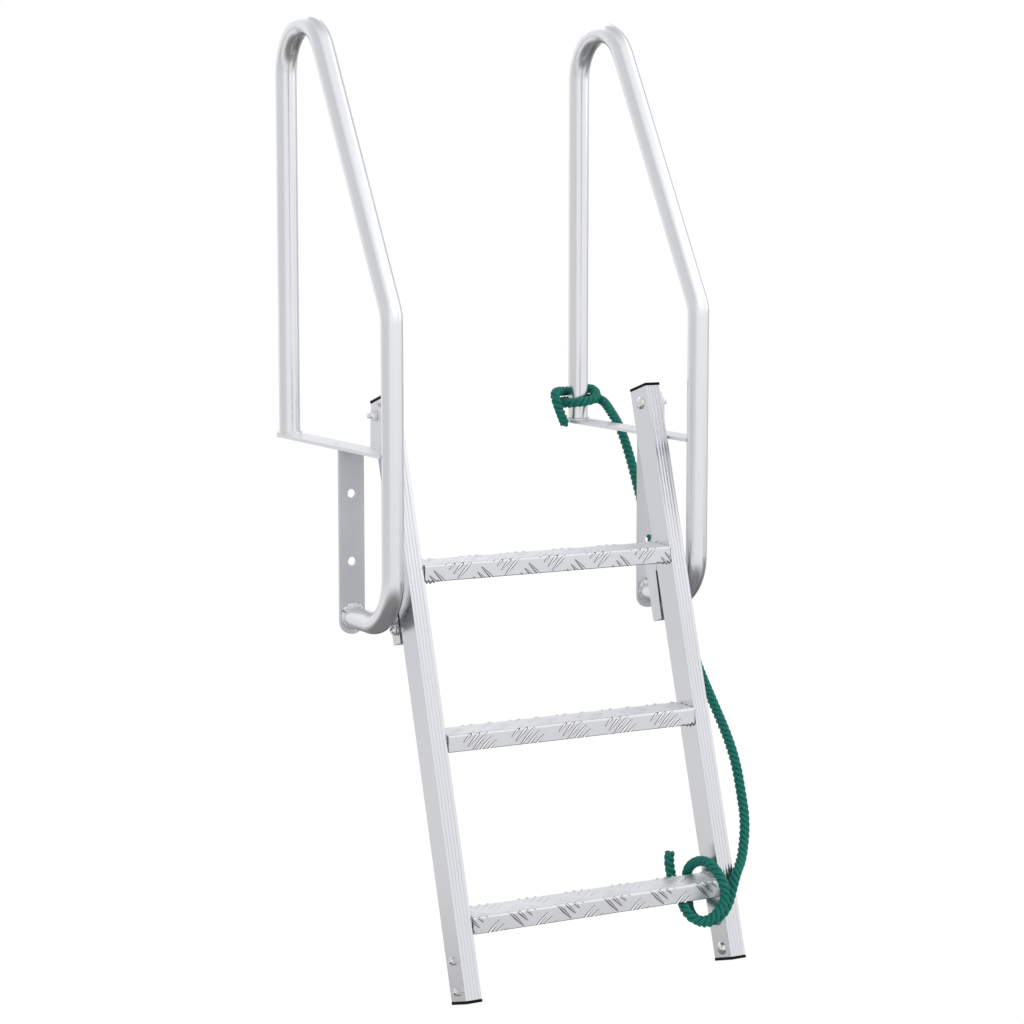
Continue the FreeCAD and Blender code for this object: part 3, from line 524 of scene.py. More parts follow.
def make_rope_material():
    material, tree, shader, place = new_material("green_polypropylene", "UV")
    split = tree.nodes.new("ShaderNodeSeparateXYZ")
    tree.links.new(place, split.inputs[0])
    slant = number_node(tree, "MULTIPLY", split.outputs["X"], YARN_SLANT)
    around = number_node(tree, "MULTIPLY", split.outputs["Y"], YARNS)
    phase = number_node(tree, "ADD", slant, around)
    wave = number_node(tree, "SINE", number_node(tree, "MULTIPLY", phase, 2 * math.pi), 0.0)
    yarn = spread_value(tree, wave, 0.0, 1.0, -1.0)
    noise = tree.nodes.new("ShaderNodeTexNoise")
    noise.inputs["Scale"].default_value = 9.0
    noise.inputs["Detail"].default_value = 6.0
    tree.links.new(place, noise.inputs["Vector"])
    fuzz_and_highlight = number_node(tree, "MULTIPLY", yarn, noise.outputs["Fac"])
    # Painted shade between the yarns, and a painted highlight where the fuzz is.
    body = mix_colour(tree, yarn, ROPE_SHADE, ROPE_GREEN)
    tint = mix_colour(tree, fuzz_and_highlight, body, ROPE_HIGHLIGHT)
    tree.links.new(tint, shader.inputs["Base Color"])
    tree.links.new(spread_value(tree, fuzz_and_highlight, 0.62, 0.42), shader.inputs["Roughness"])
    shader.inputs["Sheen Weight"].default_value = 0.04
    shader.inputs["Specular IOR Level"].default_value = 0.3
    add_relief(tree, fuzz_and_highlight, 0.8, 0.4 * MM)
    return material


rope.data.materials.append(make_rope_material())
print("rope material is on", rope.name)

# %% [markdown]
# ## Working as by hand
# The metal pieces are modelled with the same operators that one would click: a primitive,
# then edit mode. These helpers keep that short. Everything is deselected before a primitive
# is added, and in edit mode only the elements that pass a test stay selected. A finished
# piece takes one finish, and shade() then gives another to the few faces that differ.

# %% Selecting and placing
def select_only(*pieces):
    bpy.ops.object.select_all(action="DESELECT")
    for piece in pieces:
        piece.select_set(True)
    bpy.context.view_layer.objects.active = pieces[0]


def edit_mode():
    bpy.ops.object.mode_set(mode="EDIT")


def object_mode():
    bpy.ops.object.mode_set(mode="OBJECT")


def apply_place():
    bpy.ops.object.transform_apply(location=True, rotation=True, scale=True)


def fresh(name):
    """Name the primitive that was just added."""
    piece = bpy.context.active_object
    piece.name = name
    piece.data.name = name
    return piece


print("helpers to select, place and name are ready")

# %% Blocks and rods
def block(name, low, high):
    """A cube primitive stretched to fill the box from low to high."""
    bpy.ops.object.select_all(action="DESELECT")
    middle = [(a + b) / 2 for a, b in zip(low, high)]
    bpy.ops.mesh.primitive_cube_add(size=1.0, location=middle)
    piece = fresh(name)
    piece.scale = [b - a for a, b in zip(low, high)]
    apply_place()
    return piece


def rod(name, radius, start, end, sides=32):
    """A cylinder primitive from start to end."""
    bpy.ops.object.select_all(action="DESELECT")
    start, end = Vector(start), Vector(end)
    way = end - start
    bpy.ops.mesh.primitive_cylinder_add(
        vertices=sides,
        radius=radius,
        depth=way.length,
        location=(start + end) / 2,
        rotation=way.to_track_quat("Z", "Y").to_euler(),
    )
    apply_place()
    return fresh(name)


print("blocks and rods are ready")

# %% Picking, cutting and softening
ROUND = 0.5 * MM


def pick(piece, kind, test):
    """In edit mode, select only the verts, edges or faces that pass the test."""
    bpy.ops.mesh.select_mode(type={"verts": "VERT", "edges": "EDGE", "faces": "FACE"}[kind])
    mesh = bmesh.from_edit_mesh(piece.data)
    for group in (mesh.verts, mesh.edges, mesh.faces):
        for element in group:
            element.select = False
    for element in getattr(mesh, kind):
        if test(element):
            element.select_set(True)
    mesh.select_flush_mode()
    bmesh.update_edit_mesh(piece.data)


def middle_of(element):
    return sum((vertex.co for vertex in element.verts), Vector()) / len(element.verts)


def cut_with(piece, *tools):
    """Take the tools' shapes out of the piece and throw the tools away."""
    for tool in tools:
        select_only(piece)
        cut = piece.modifiers.new("cut", "BOOLEAN")
        cut.operation = "DIFFERENCE"
        cut.solver = "EXACT"
        cut.object = tool
        bpy.ops.object.modifier_apply(modifier="cut")
        bpy.data.objects.remove(tool)


def soften(piece, width, segments=2, angle=40.0):
    """Round the sharp edges a little and shade the rest smooth."""
    select_only(piece)
    bevel = piece.modifiers.new("soften", "BEVEL")
    bevel.width = width
    bevel.segments = segments
    bevel.limit_method = "ANGLE"
    bevel.angle_limit = math.radians(angle)
    bevel.harden_normals = False
    bpy.ops.object.modifier_apply(modifier="soften")
    bpy.ops.object.shade_smooth_by_angle(angle=math.radians(angle))
    flat = piece.modifiers.new("flat", "WEIGHTED_NORMAL")
    flat.keep_sharp = True
    bpy.ops.object.modifier_apply(modifier="flat")


print("small edges are rounded by", ROUND / MM, "mm")

# %% Joining and finishing a piece
def settle(piece, body, slot, material, *nodes):
    """Put the finished piece on its body with its finish, in place of its nodes."""
    select_only(piece)
    apply_place()
    piece.data.materials.clear()
    piece.data.materials.append(material)
    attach(piece, body)
    if nodes:
        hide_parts(*nodes)
    return piece


def shade(piece, material, test):
    """Give another finish to the faces where the test on middle and normal holds."""
    piece.data.materials.append(material)
    last = len(piece.data.materials) - 1
    for face in piece.data.polygons:
        if test(face.center, face.normal):
            face.material_index = last


def join(pieces, name):
    select_only(*pieces)
    if len(pieces) > 1:
        bpy.ops.object.join()
    return fresh(name)


print("helpers to join and finish are ready")

# %% [markdown]
# ## Places from the frame
# The places come from the solids that are already here: the two rails, the flat bars, the
# pivot and the stringers. The ladder hangs at seventeen degrees from the upright, and a box
# round a slanting solid says little of its own sizes, so the slant and the stringer's depth
# and length are written down.

# %% Places and directions
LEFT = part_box("left_deck_strap")
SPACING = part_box("right_deck_strap")[0][0] - LEFT[0][0]
RAIL_X = {"left": 0.0, "right": SPACING}
INWARD = {"left": 1.0, "right": -1.0}
BAR = LEFT[1][2] - LEFT[0][2]
HALF_BAR = (LEFT[1][0] - LEFT[0][0]) / 2
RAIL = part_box("left_handrail")
TUBE_RADIUS = (RAIL[1][0] - RAIL[0][0]) / 2
BACK_Y = RAIL[1][1] - TUBE_RADIUS
FRONT_Y = RAIL[0][1] + TUBE_RADIUS
TOP_Z = RAIL[1][2] - TUBE_RADIUS
LEG_Z = RAIL[0][2] + TUBE_RADIUS
TILT = math.radians(17.03)
JOINT = frame["record"]["behaviour"]["joints"][0]
PIVOT = Vector(JOINT["pos_m"])
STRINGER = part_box("left_stringer")
STRINGER_WIDTH = STRINGER[1][0] - STRINGER[0][0]
STRINGER_DEPTH = 46 * MM
STRINGER_LENGTH = 862 * MM
STRINGER_ABOVE = 22.8 * MM
PIVOT_AHEAD = 2 * MM
STRINGER_OUT = 22 * MM
LADDER = Matrix.Translation((0, PIVOT.y, PIVOT.z)) @ Matrix.Rotation(-TILT, 4, "X")
LADDER = LADDER @ Matrix.Translation((0, PIVOT_AHEAD, 0))


def stringer_low_x(side):
    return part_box(side + "_stringer")[0][0]


print("rails %.0f mm apart, pivot at" % (SPACING / MM), tuple(round(v, 4) for v in PIVOT))

# %% [markdown]
# ## The handrails
# Each rail is one length of round tube bent in three places. In the shop a bender turns
# the tube about a former, and Blender's spin does the same: a ring of vertices is extruded
# along the straight lengths and spun about the centre of each bend.

# %% Straight runs and bends
DEGREES_PER_STEP = 5.0


def bend_tube(centre, angle):
    """Spin the selected ring about an axis along X through centre."""
    bpy.ops.mesh.spin(
        steps=max(2, round(math.degrees(angle) / DEGREES_PER_STEP)),
        angle=-angle,
        center=centre,
        axis=(1.0, 0.0, 0.0),
    )


def run_tube(move):
    """Extrude the selected ring by a vector."""
    bpy.ops.mesh.extrude_edges_move(TRANSFORM_OT_translate={"value": tuple(move)})


def ring_middle(piece):
    mesh = bmesh.from_edit_mesh(piece.data)
    ring = [vertex.co for vertex in mesh.verts if vertex.select]
    return sum(ring, Vector()) / len(ring)


print("a bend takes a ring every", DEGREES_PER_STEP, "degrees")

# %% The two tubes
SLOPE = math.radians(30.5)
TOP_BEND = 73.4 * MM
KNEE_BEND = 50 * MM
LOWER_BEND = 75 * MM
TUBE_SIDES = 48
MERGE = 0.01 * MM


def make_handrail(side):
    x = RAIL_X[side]
    foot_z = LEFT[1][2]
    bend_top = Vector((x, BACK_Y - TOP_BEND, TOP_Z - TOP_BEND))
    bpy.ops.object.select_all(action="DESELECT")
    bpy.ops.mesh.primitive_circle_add(
        vertices=TUBE_SIDES, radius=TUBE_RADIUS, fill_type="NGON", location=(x, BACK_Y, foot_z)
    )
    piece = fresh(side + "_rail_tube")
    apply_place()
    edit_mode()
    pick(piece, "edges", lambda edge: True)
    run_tube((0, 0, bend_top.z - foot_z))
    bend_tube(bend_top, math.pi - SLOPE)
    over = ring_middle(piece)
    fall = Vector((0, -math.sin(SLOPE), -math.cos(SLOPE)))
    tangent = KNEE_BEND * math.tan(SLOPE / 2)
    knee = Vector((x, FRONT_Y, over.z - (over.y - FRONT_Y) / math.tan(SLOPE)))
    run_tube((knee - fall * tangent) - over)
    bend_tube(Vector((x, FRONT_Y + KNEE_BEND, knee.z - tangent)), SLOPE)
    low_bend = Vector((x, FRONT_Y + LOWER_BEND, LEG_Z + LOWER_BEND))
    run_tube((0, 0, low_bend.z - ring_middle(piece).z))
    bend_tube(low_bend, math.pi / 2)
    run_tube((0, -BAR - ring_middle(piece).y, 0))
    bpy.ops.mesh.edge_face_add()
    bpy.ops.mesh.select_all(action="SELECT")
    bpy.ops.mesh.remove_doubles(threshold=MERGE)
    bpy.ops.mesh.normals_make_consistent(inside=False)
    object_mode()
    bpy.ops.object.shade_smooth_by_angle(angle=math.radians(40))
    low = [min(vertex.co[axis] for vertex in piece.data.vertices) for axis in range(3)]
    high = [max(vertex.co[axis] for vertex in piece.data.vertices) for axis in range(3)]
    print(side, "rail spans", [round(v, 4) for v in low], [round(v, 4) for v in high])
    return settle(piece, "rails", "aluminium", tube_metal, side + "_handrail")


for side in RAIL_X:
    make_handrail(side)
print("the frame says", [[round(v, 4) for v in corner] for corner in RAIL])

# %% [markdown]
# ## Flat bars
# The deck strap, the dock plate and the pivot ear are sawn from one 40 by 5 bar, rounded
# at one end and drilled. A cube takes the bar's size, bevelling its two end edges by half
# the width makes the round end, and the drill is a cylinder that is cut out of it. The
# deck strap also has a round notch where it meets the front tube.

# %% A bar with a round end
ROUND_SEGMENTS = 14
NEARLY_HALF = 0.999
NEAR = 0.1 * MM


def flat_bar(name, box, end_axis, end_value, thin_axis):
    """A bar that fills the box, round where end_axis reaches end_value."""
    piece = block(name, *box)
    across = 3 - end_axis - thin_axis
    half = (box[1][across] - box[0][across]) / 2
    edit_mode()

    def at_end(edge):
        along = edge.verts[1].co - edge.verts[0].co
        thin = abs(along[thin_axis]) > 0.9 * along.length
        return thin and abs(middle_of(edge)[end_axis] - end_value) < NEAR

    pick(piece, "edges", at_end)
    bpy.ops.mesh.bevel(offset=half * NEARLY_HALF, segments=ROUND_SEGMENTS, affect="EDGES")
    object_mode()
    return piece


MOUNTS = {mount["name"]: mount for mount in frame["record"]["mounts"]}
DECK = MOUNTS["deck_screws"]
DOCK = MOUNTS["dock_bolts"]
print("hole radii in mm:", DECK["dims"]["hole_r_mm"], DOCK["dims"]["hole_r_mm"])

# %% Straps, plates and ears
DRILL_OVER = 2 * MM
STRAP_PAST_TUBE = 6 * MM
NOTCH_ROOM = 0.3 * MM
PIVOT_HOLE = 4.05 * MM


def make_deck_strap(side):
    x = RAIL_X[side]
    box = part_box(side + "_deck_strap")
    low, high = list(box[0]), list(box[1])
    low[1] = FRONT_Y + STRAP_PAST_TUBE
    piece = flat_bar(side + "_strap_bar", (low, high), 1, high[1], 2)
    reach = DECK["dims"]["spacing_y_mm"] * MM / 2
    radius = DECK["dims"]["hole_r_mm"] * MM
    drills = [
        rod("drill", radius, (x, y, low[2] - DRILL_OVER), (x, y, high[2] + DRILL_OVER))
        for y in (DECK["pos_m"][1] - reach, DECK["pos_m"][1] + reach)
    ]
    notch = rod(
        "notch",
        TUBE_RADIUS + NOTCH_ROOM,
        (x, FRONT_Y, low[2] - DRILL_OVER),
        (x, FRONT_Y, high[2] + DRILL_OVER),
        TUBE_SIDES,
    )
    cut_with(piece, *drills, notch)
    soften(piece, ROUND)
    settle(piece, "rails", "aluminium", bar_metal, side + "_deck_strap")


def make_dock_plate(side):
    x = RAIL_X[side]
    low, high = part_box(side + "_dock_plate")
    piece = flat_bar(side + "_plate_bar", (low, high), 2, low[2], 1)
    reach = DOCK["dims"]["spacing_y_mm"] * MM / 2
    radius = DOCK["dims"]["hole_r_mm"] * MM
    drills = [
        rod("drill", radius, (x, low[1] - DRILL_OVER, z), (x, high[1] + DRILL_OVER, z))
        for z in (DOCK["pos_m"][2] - reach, DOCK["pos_m"][2] + reach)
    ]
    cut_with(piece, *drills)
    soften(piece, ROUND)
    settle(piece, "rails", "aluminium", dock_metal, side + "_dock_plate")


def make_pivot_ear(side):
    low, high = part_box(side + "_pivot_lug")
    piece = flat_bar(side + "_pivot_ear", (low, high), 2, high[2], 0)
    start = (low[0] - DRILL_OVER, PIVOT.y, PIVOT.z)
    end = (high[0] + DRILL_OVER, PIVOT.y, PIVOT.z)
    drill = rod("drill", PIVOT_HOLE, start, end)
    cut_with(piece, drill)
    soften(piece, ROUND)
    settle(piece, "rails", "aluminium", bar_metal, side + "_pivot_lug")


for side in RAIL_X:
    make_deck_strap(side)
    make_dock_plate(side)
    make_pivot_ear(side)
print("flat bars are", round(HALF_BAR * 2 / MM), "by", round(BAR / MM), "mm")

# %% [markdown]
# ## The stringers
# A stringer is an extruded hollow profile with four shallow grooves down its front face.
# It is built upright at the origin, with the pivot at height zero, and then turned and
# moved to where it hangs. The grooves start as strips between bisecting planes, which are
# then inset and sunk a little way into the face. Their floors get a darker colour of their
# own, a painted shade, because so shallow a groove hardly shades itself.

# %% Grooved profile
GROOVES = 4
GROOVE_PITCH = 5 * MM
GROOVE_WIDTH = 3 * MM
GROOVE_DEPTH = 0.5 * MM
GROOVE_WALL = 0.7 * MM
GROOVE_MARGIN = 1.5 * MM
STRINGER_ROUND = 0.6 * MM


def bisect_at(position, normal):
    bpy.ops.mesh.select_all(action="SELECT")
    bpy.ops.mesh.bisect(plane_co=position, plane_no=normal)


def hang(piece, x):
    """Turn a piece built upright round the pivot into its place on the ladder."""
    piece.data.transform(Matrix.Translation((x, 0, 0)) @ LADDER)
    piece.data.update()


def make_stringer(side):
    half = STRINGER_DEPTH / 2
    top = STRINGER_ABOVE
    piece = block(
        side + "_stringer_profile",
        (0, -half, top - STRINGER_LENGTH),
        (STRINGER_WIDTH, half, top),
    )
    edit_mode()
    middle = STRINGER_WIDTH / 2
    centres = [middle + (index - (GROOVES - 1) / 2) * GROOVE_PITCH for index in range(GROOVES)]
    for centre_x in centres:
        for edge_x in (centre_x - GROOVE_WIDTH / 2, centre_x + GROOVE_WIDTH / 2):
            bisect_at((edge_x, 0, 0), (1, 0, 0))
    pick(
        piece,
        "faces",
        lambda face: face.normal.y < -0.9
        and any(abs(middle_of(face).x - centre_x) < GROOVE_WIDTH / 3 for centre_x in centres),
    )
    bpy.ops.mesh.inset(thickness=GROOVE_WALL, depth=-GROOVE_DEPTH, use_individual=True)
    object_mode()
    soften(piece, STRINGER_ROUND, 3, 50.0)
    hang(piece, stringer_low_x(side))
    settle(piece, "ladder", "aluminium", stringer_metal, side + "_stringer")
    back_to_upright = LADDER.inverted()
    low_x = stringer_low_x(side) + GROOVE_MARGIN
    high_x = stringer_low_x(side) + STRINGER_WIDTH - GROOVE_MARGIN

    def is_groove(middle, normal):
        upright = back_to_upright @ middle
        deep = -half + 0.6 * GROOVE_DEPTH < upright.y < -half + 2 * MM
        return low_x < middle.x < high_x and deep and normal.y < -0.9

    # The groove floors get the painted shade.
    shade(piece, groove_metal, is_groove)


for side in RAIL_X:
    make_stringer(side)
print("stringers are", round(STRINGER_LENGTH / MM), "mm long")

# %% [markdown]
# ## End caps
# Each stringer end is closed by a push-in cap of black plastic. Only its plate shows: a
# thin slab that stands a hair proud of the profile, with rounded edges and corners.

# %% Black caps
CAP_THICKNESS = 4 * MM
CAP_PROUD = 0.8 * MM
CAP_CORNER = 2 * MM
CAP_ROUND = 0.8 * MM


def make_cap(side, end):
    half = STRINGER_DEPTH / 2 + CAP_PROUD
    low_z = STRINGER_ABOVE if end == "top" else STRINGER_ABOVE - STRINGER_LENGTH - CAP_THICKNESS
    piece = block(
        side + "_" + end + "_cap_plate",
        (-CAP_PROUD, -half, low_z),
        (STRINGER_WIDTH + CAP_PROUD, half, low_z + CAP_THICKNESS),
    )
    edit_mode()
    pick(piece, "edges", lambda edge: abs((edge.verts[1].co - edge.verts[0].co).z) > 0.001)
    bpy.ops.mesh.bevel(offset=CAP_CORNER, segments=4, affect="EDGES")
    object_mode()
    soften(piece, CAP_ROUND, 3)
    hang(piece, stringer_low_x(side))
    settle(piece, "ladder", "black_plastic", cap_plastic, side + "_" + end + "_cap")


for side in RAIL_X:
    for end in ("top", "foot"):
        make_cap(side, end)
print("four caps,", round(CAP_THICKNESS / MM), "mm thick")

# %% [markdown]
# ## Chequer plate steps
# The plate is rolled with five raised bars in each group, and the groups lie crosswise to
# their neighbours. The step is drawn as the flat blank first: the bars lie on it where the
# sheet was cut, run over its edges and are trimmed there. Then the blank is folded, so the
# bars bend with the plate over the front and back edges. Each step was cut from another
# place on the sheet, so its bars start elsewhere.

# %% The blank and its fold
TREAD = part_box("top_step")
TREAD_DEPTH = TREAD[1][1] - TREAD[0][1]
TREAD_LIP = TREAD[1][2] - TREAD[0][2]
TREAD_SHEET = 3 * MM
TREAD_BEND = 4 * MM
BEND_LENGTH = TREAD_BEND * math.pi / 2
LIP_FLAT = TREAD_LIP - TREAD_BEND
TOP_FLAT = TREAD_DEPTH - 2 * TREAD_BEND
FOLDS = [LIP_FLAT, LIP_FLAT + BEND_LENGTH]
FOLDS += [FOLDS[1] + TOP_FLAT, FOLDS[1] + TOP_FLAT + BEND_LENGTH]
BLANK = FOLDS[3] + LIP_FLAT
BEND_CUTS = 6


def folded(along, lift):
    """Where a point of the blank goes: along from the front lip's edge, lift outwards."""
    if along < FOLDS[0]:
        return -lift, along - TREAD_LIP
    if along < FOLDS[1]:
        turn = (along - FOLDS[0]) / TREAD_BEND
        reach = TREAD_BEND + lift
        return TREAD_BEND - reach * math.cos(turn), reach * math.sin(turn) - TREAD_BEND
    if along < FOLDS[2]:
        return TREAD_BEND + along - FOLDS[1], lift
    if along < FOLDS[3]:
        turn = (along - FOLDS[2]) / TREAD_BEND
        reach = TREAD_BEND + lift
        return (
            TREAD_DEPTH - TREAD_BEND + reach * math.sin(turn),
            reach * math.cos(turn) - TREAD_BEND,
        )
    return TREAD_DEPTH + lift, -TREAD_BEND - (along - FOLDS[3])


def fold_over(piece, origin, worn=1.0):
    """Fold a flat mesh over the step's edges. What stands proud is worn down on the top."""
    for vertex in piece.data.vertices:
        along, lift = vertex.co.y, vertex.co.z
        if FOLDS[1] < along < FOLDS[2]:
            lift *= worn
        y, z = folded(along, lift)
        vertex.co = Vector((vertex.co.x, y, z)) + origin
    piece.data.update()


def bend_lines():
    """Places along the blank where the mesh needs a cut so that it can bend."""
    places = []
    for start in (FOLDS[0], FOLDS[2]):
        for index in range(BEND_CUTS + 1):
            places.append(start + BEND_LENGTH * index / BEND_CUTS)
    return places


print("the blank is %.0f mm from lip to lip" % (BLANK / MM))

# %% [markdown]
# ### The raised bars
# One bar is a pointed lens: a disc squeezed to shape, then lifted in three rises that
# narrow towards its crest. The lowest rise is where the painted shade at the bar's foot
# goes, so it is a ring of faces of its own. Copies of the bar are laid out in groups that
# lean to the one side and to the other in turn.

# %% One raised bar
BAR_LENGTH = 38 * MM
BAR_WIDTH = 5.0 * MM
BAR_HEIGHT = 1.5 * MM
BAR_PITCH = 9.5 * MM
GROUP_STEP = 38.75 * MM
BARS_IN_GROUP = 5
BAR_TAPER = 0.35
BAR_RISES = ((0.52, 0.955, 0.74), (0.23, 0.974, 0.838), (0.25, 0.90, 0.45))


def make_raised_bar():
    """A lens-shaped bar on the blank's face, pointed at both ends."""
    bpy.ops.object.select_all(action="DESELECT")
    bpy.ops.mesh.primitive_circle_add(vertices=16, radius=1.0, fill_type="NGON")
    piece = fresh("raised_bar")
    for vertex in piece.data.vertices:
        vertex.co.y *= BAR_WIDTH / 2 * (1 - BAR_TAPER * abs(vertex.co.x))
        vertex.co.x *= BAR_LENGTH / 2
    edit_mode()
    bpy.ops.mesh.select_all(action="SELECT")
    for share, shorter, thinner in BAR_RISES:
        bpy.ops.mesh.extrude_region_move(
            TRANSFORM_OT_translate={"value": (0, 0, BAR_HEIGHT * share)}
        )
        bpy.ops.transform.resize(value=(shorter, thinner, 1.0))
    object_mode()
    return piece


def bar_places(phase_x, phase_along, lean, width):
    """Middle points and angles of the bars of the groups that lean one way."""
    places = []
    half = (BARS_IN_GROUP - 1) / 2
    step = 2 * GROUP_STEP
    for column in range(-1, 8):
        for row in range(-1, 3):
            for index in range(BARS_IN_GROUP):
                shift = (index - half) * BAR_PITCH / math.sqrt(2)
                x = phase_x + column * step + shift
                along = phase_along + row * step - shift * lean
                reach = BAR_LENGTH / 2
                if -reach < x < width + reach and -reach < along < BLANK + reach:
                    places.append((x, along, lean * math.pi / 4))
    return places


print("a bar is %.0f by %.0f mm" % (BAR_LENGTH / MM, BAR_WIDTH / MM))
print("and %.1f mm high" % (BAR_HEIGHT / MM))

# %% [markdown]
# ### Plate, fold and painted light
# The copies are joined, trimmed with bisecting planes at the blank's edges and cut where it
# bends. The sheet is a plane with the same cuts. Both are folded by one formula, and the
# sheet then gets its thickness. Boots wear the bars on the top low. On the front lip the
# bars get a painted highlight with some real rubbing. They also get painted shade at their
# feet and on their right flanks, and painted shade goes along the lip's lower edge.

# %% Bars and sheet on the flat blank
def laid_bars(name, places):
    """Copies of one raised bar at their places on the blank, joined to one mesh."""
    stamp = make_raised_bar()
    bars = []
    for x, along, turn in places:
        bar = stamp.copy()
        bar.data = stamp.data.copy()
        scene.collection.objects.link(bar)
        bar.data.transform(Matrix.Translation((x, along, 0)) @ Matrix.Rotation(turn, 4, "Z"))
        bars.append(bar)
    bpy.data.objects.remove(stamp)
    return join(bars, name + "_bars")


def cut_bends():
    """In edit mode, cut the mesh across where the blank bends."""
    for along in bend_lines():
        bisect_at((0, along, 0), (0, 1, 0))


def trim_to_blank(piece, width):
    """Cut away what runs over the blank's edges, and cut the rest where it bends."""
    edit_mode()
    trims = [((0, 0, 0), (-1, 0, 0)), ((width, 0, 0), (1, 0, 0)), ((0, 0, 0), (0, -1, 0))]
    trims.append(((0, BLANK, 0), (0, 1, 0)))
    for position, normal in trims:
        bpy.ops.mesh.select_all(action="SELECT")
        bpy.ops.mesh.bisect(plane_co=position, plane_no=normal, clear_outer=True, use_fill=True)
    cut_bends()
    object_mode()


def flat_sheet(name, width):
    """A plane of the blank's size with cuts where it bends."""
    bpy.ops.object.select_all(action="DESELECT")
    bpy.ops.mesh.primitive_plane_add(size=1.0)
    sheet = fresh(name)
    sheet.data.transform(Matrix.Diagonal((width, BLANK, 1.0, 1.0)))
    sheet.data.transform(Matrix.Translation((width / 2, BLANK / 2, 0)))
    edit_mode()
    cut_bends()
    object_mode()
    return sheet


print("the blank has", len(bend_lines()), "cuts where it bends")

# %% Painted highlight and painted shade on the lip
PROUD = 0.05 * MM
SHADE_REACH = 0.6 * MM
SHADE_EDGE = 1.1 * MM


def mark_lip(piece, front, foot):
    """Painted highlight on the bars of the front lip, painted shade on their lower and right
    flanks and on the lip's lower edge.
    """

    def is_highlit(middle, normal):
        return middle.y < front - PROUD

    def is_shaded(middle, normal):
        low_flank = normal.y > -0.8 and middle.y > front - SHADE_REACH
        flank = middle.y < front - PROUD and (low_flank or normal.x > 0.15)
        edge = middle.y < front + MM and middle.z < foot + SHADE_EDGE and normal.z < -0.15
        return flank or edge

    # Painted highlight on the lip's bars, then painted shade on their lower and right flanks and
    # on the lip's lower edge.
    shade(piece, highlit_and_rubbed_metal, is_highlit)
    shade(piece, painted_shade_metal, is_shaded)


# How far up a bar's flank the painted shade reaches.
print("painted shade reaches", SHADE_REACH / MM, "mm up a bar's flank")

# %% Three steps
END_GAP = 1.6 * MM
TOP_WEAR = 0.35
SHEET_ROUND = 1.0 * MM
SHEET_STARTS = {
    "top_step": (51.5 * MM, 28.6 * MM, 1),
    "middle_step": (50.0 * MM, 12.0 * MM, 1),
    "bottom_step": (80.5 * MM, 28.6 * MM, -1),
}


def make_step(node, phase_x, phase_along, lean):
    name = node + "_plate"
    low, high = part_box(node)
    width = high[0] - low[0] - 2 * END_GAP
    places = bar_places(phase_x, phase_along, lean, width)
    places += bar_places(phase_x + GROUP_STEP, phase_along + GROUP_STEP, -lean, width)
    raised = laid_bars(name, places)
    trim_to_blank(raised, width)
    sheet = flat_sheet(name, width)
    origin = Vector((low[0] + END_GAP, low[1], high[2]))
    fold_over(sheet, origin)
    fold_over(raised, origin, TOP_WEAR)
    select_only(sheet)
    thick = sheet.modifiers.new("thick", "SOLIDIFY")
    thick.thickness = TREAD_SHEET
    thick.offset = -1.0
    bpy.ops.object.modifier_apply(modifier="thick")
    soften(sheet, SHEET_ROUND, 3, 50.0)
    select_only(raised)
    bpy.ops.object.shade_smooth_by_angle(angle=math.radians(50))
    piece = join([sheet, raised], name)
    settle(piece, "ladder", "aluminium", plate_metal, node)
    mark_lip(piece, low[1], low[2])
    print(name, "has", len(places), "raised bars")


for node, (phase_x, phase_along, lean) in SHEET_STARTS.items():
    make_step(node, phase_x, phase_along, lean)

# %% [markdown]
# ## Stop brackets
# Behind each stringer sits a folded channel, welded to it at the top and standing free of
# it below. The nut of the bolt across it rests against the bend of the handrail and holds
# the ladder at its slant. The solid in the frame already has this shape, so it only gets
# softer edges: its loose triangles are merged first, in a copy.

# %% Channels from the frame's solids
def softened_copy(node, name, width, angle):
    source = frame["nodes"][node]
    piece = bpy.data.objects.new(name, source.data.copy())
    scene.collection.objects.link(piece)
    piece.matrix_world = source.matrix_world
    select_only(piece)
    edit_mode()
    bpy.ops.mesh.select_all(action="SELECT")
    bpy.ops.mesh.remove_doubles(threshold=MERGE)
    bpy.ops.mesh.dissolve_limited(angle_limit=math.radians(3))
    object_mode()
    soften(piece, width, 2, angle)
    return piece


for side in RAIL_X:
    piece = softened_copy(side + "_stop_bracket", side + "_stop_channel", 0.4 * MM, 40.0)
    settle(piece, "ladder", "aluminium", stringer_metal, side + "_stop_bracket")
    print(piece.name, "has", len(piece.data.polygons), "faces")

# %% [markdown]
# ## Bolts, nuts and washers
# Each fastener is modelled from a cylinder or a disc: six sides and a chamfer for a nut, a
# smaller collar on it for the locking ring, a disc raised and narrowed five times for a
# domed head, and a short thread of alternating rings on the end that shows.

# %% Nut and washer
NUT_FLATS = 13 * MM
NUT_HEIGHT = 6.5 * MM
HEX_SHARE = 0.74
COLLAR_SHARE = 0.40
COLLAR_START = 0.9
WASHER_RADIUS = 8 * MM
WASHER_HEIGHT = 1.6 * MM


def nut(name, start, way, flats=NUT_FLATS, height=NUT_HEIGHT):
    """A hexagonal nut with chamfered corners and a round collar on its outer end."""
    body_height = height * HEX_SHARE
    body = rod(name, flats / math.sqrt(3), start, start + way * body_height, 6)
    soften(body, 0.4 * MM, 2, 50.0)
    collar_start = start + way * body_height * COLLAR_START
    collar = rod("collar", flats * COLLAR_SHARE, collar_start, start + way * height)
    soften(collar, 0.8 * MM, 3)
    return join([body, collar], name)


def washer(name, start, way, radius, height):
    disc = rod(name, radius, start, start + way * height)
    soften(disc, min(0.4 * MM, height / 3), 2)
    return disc


print("a nut is %.0f mm across its flats" % (NUT_FLATS / MM))

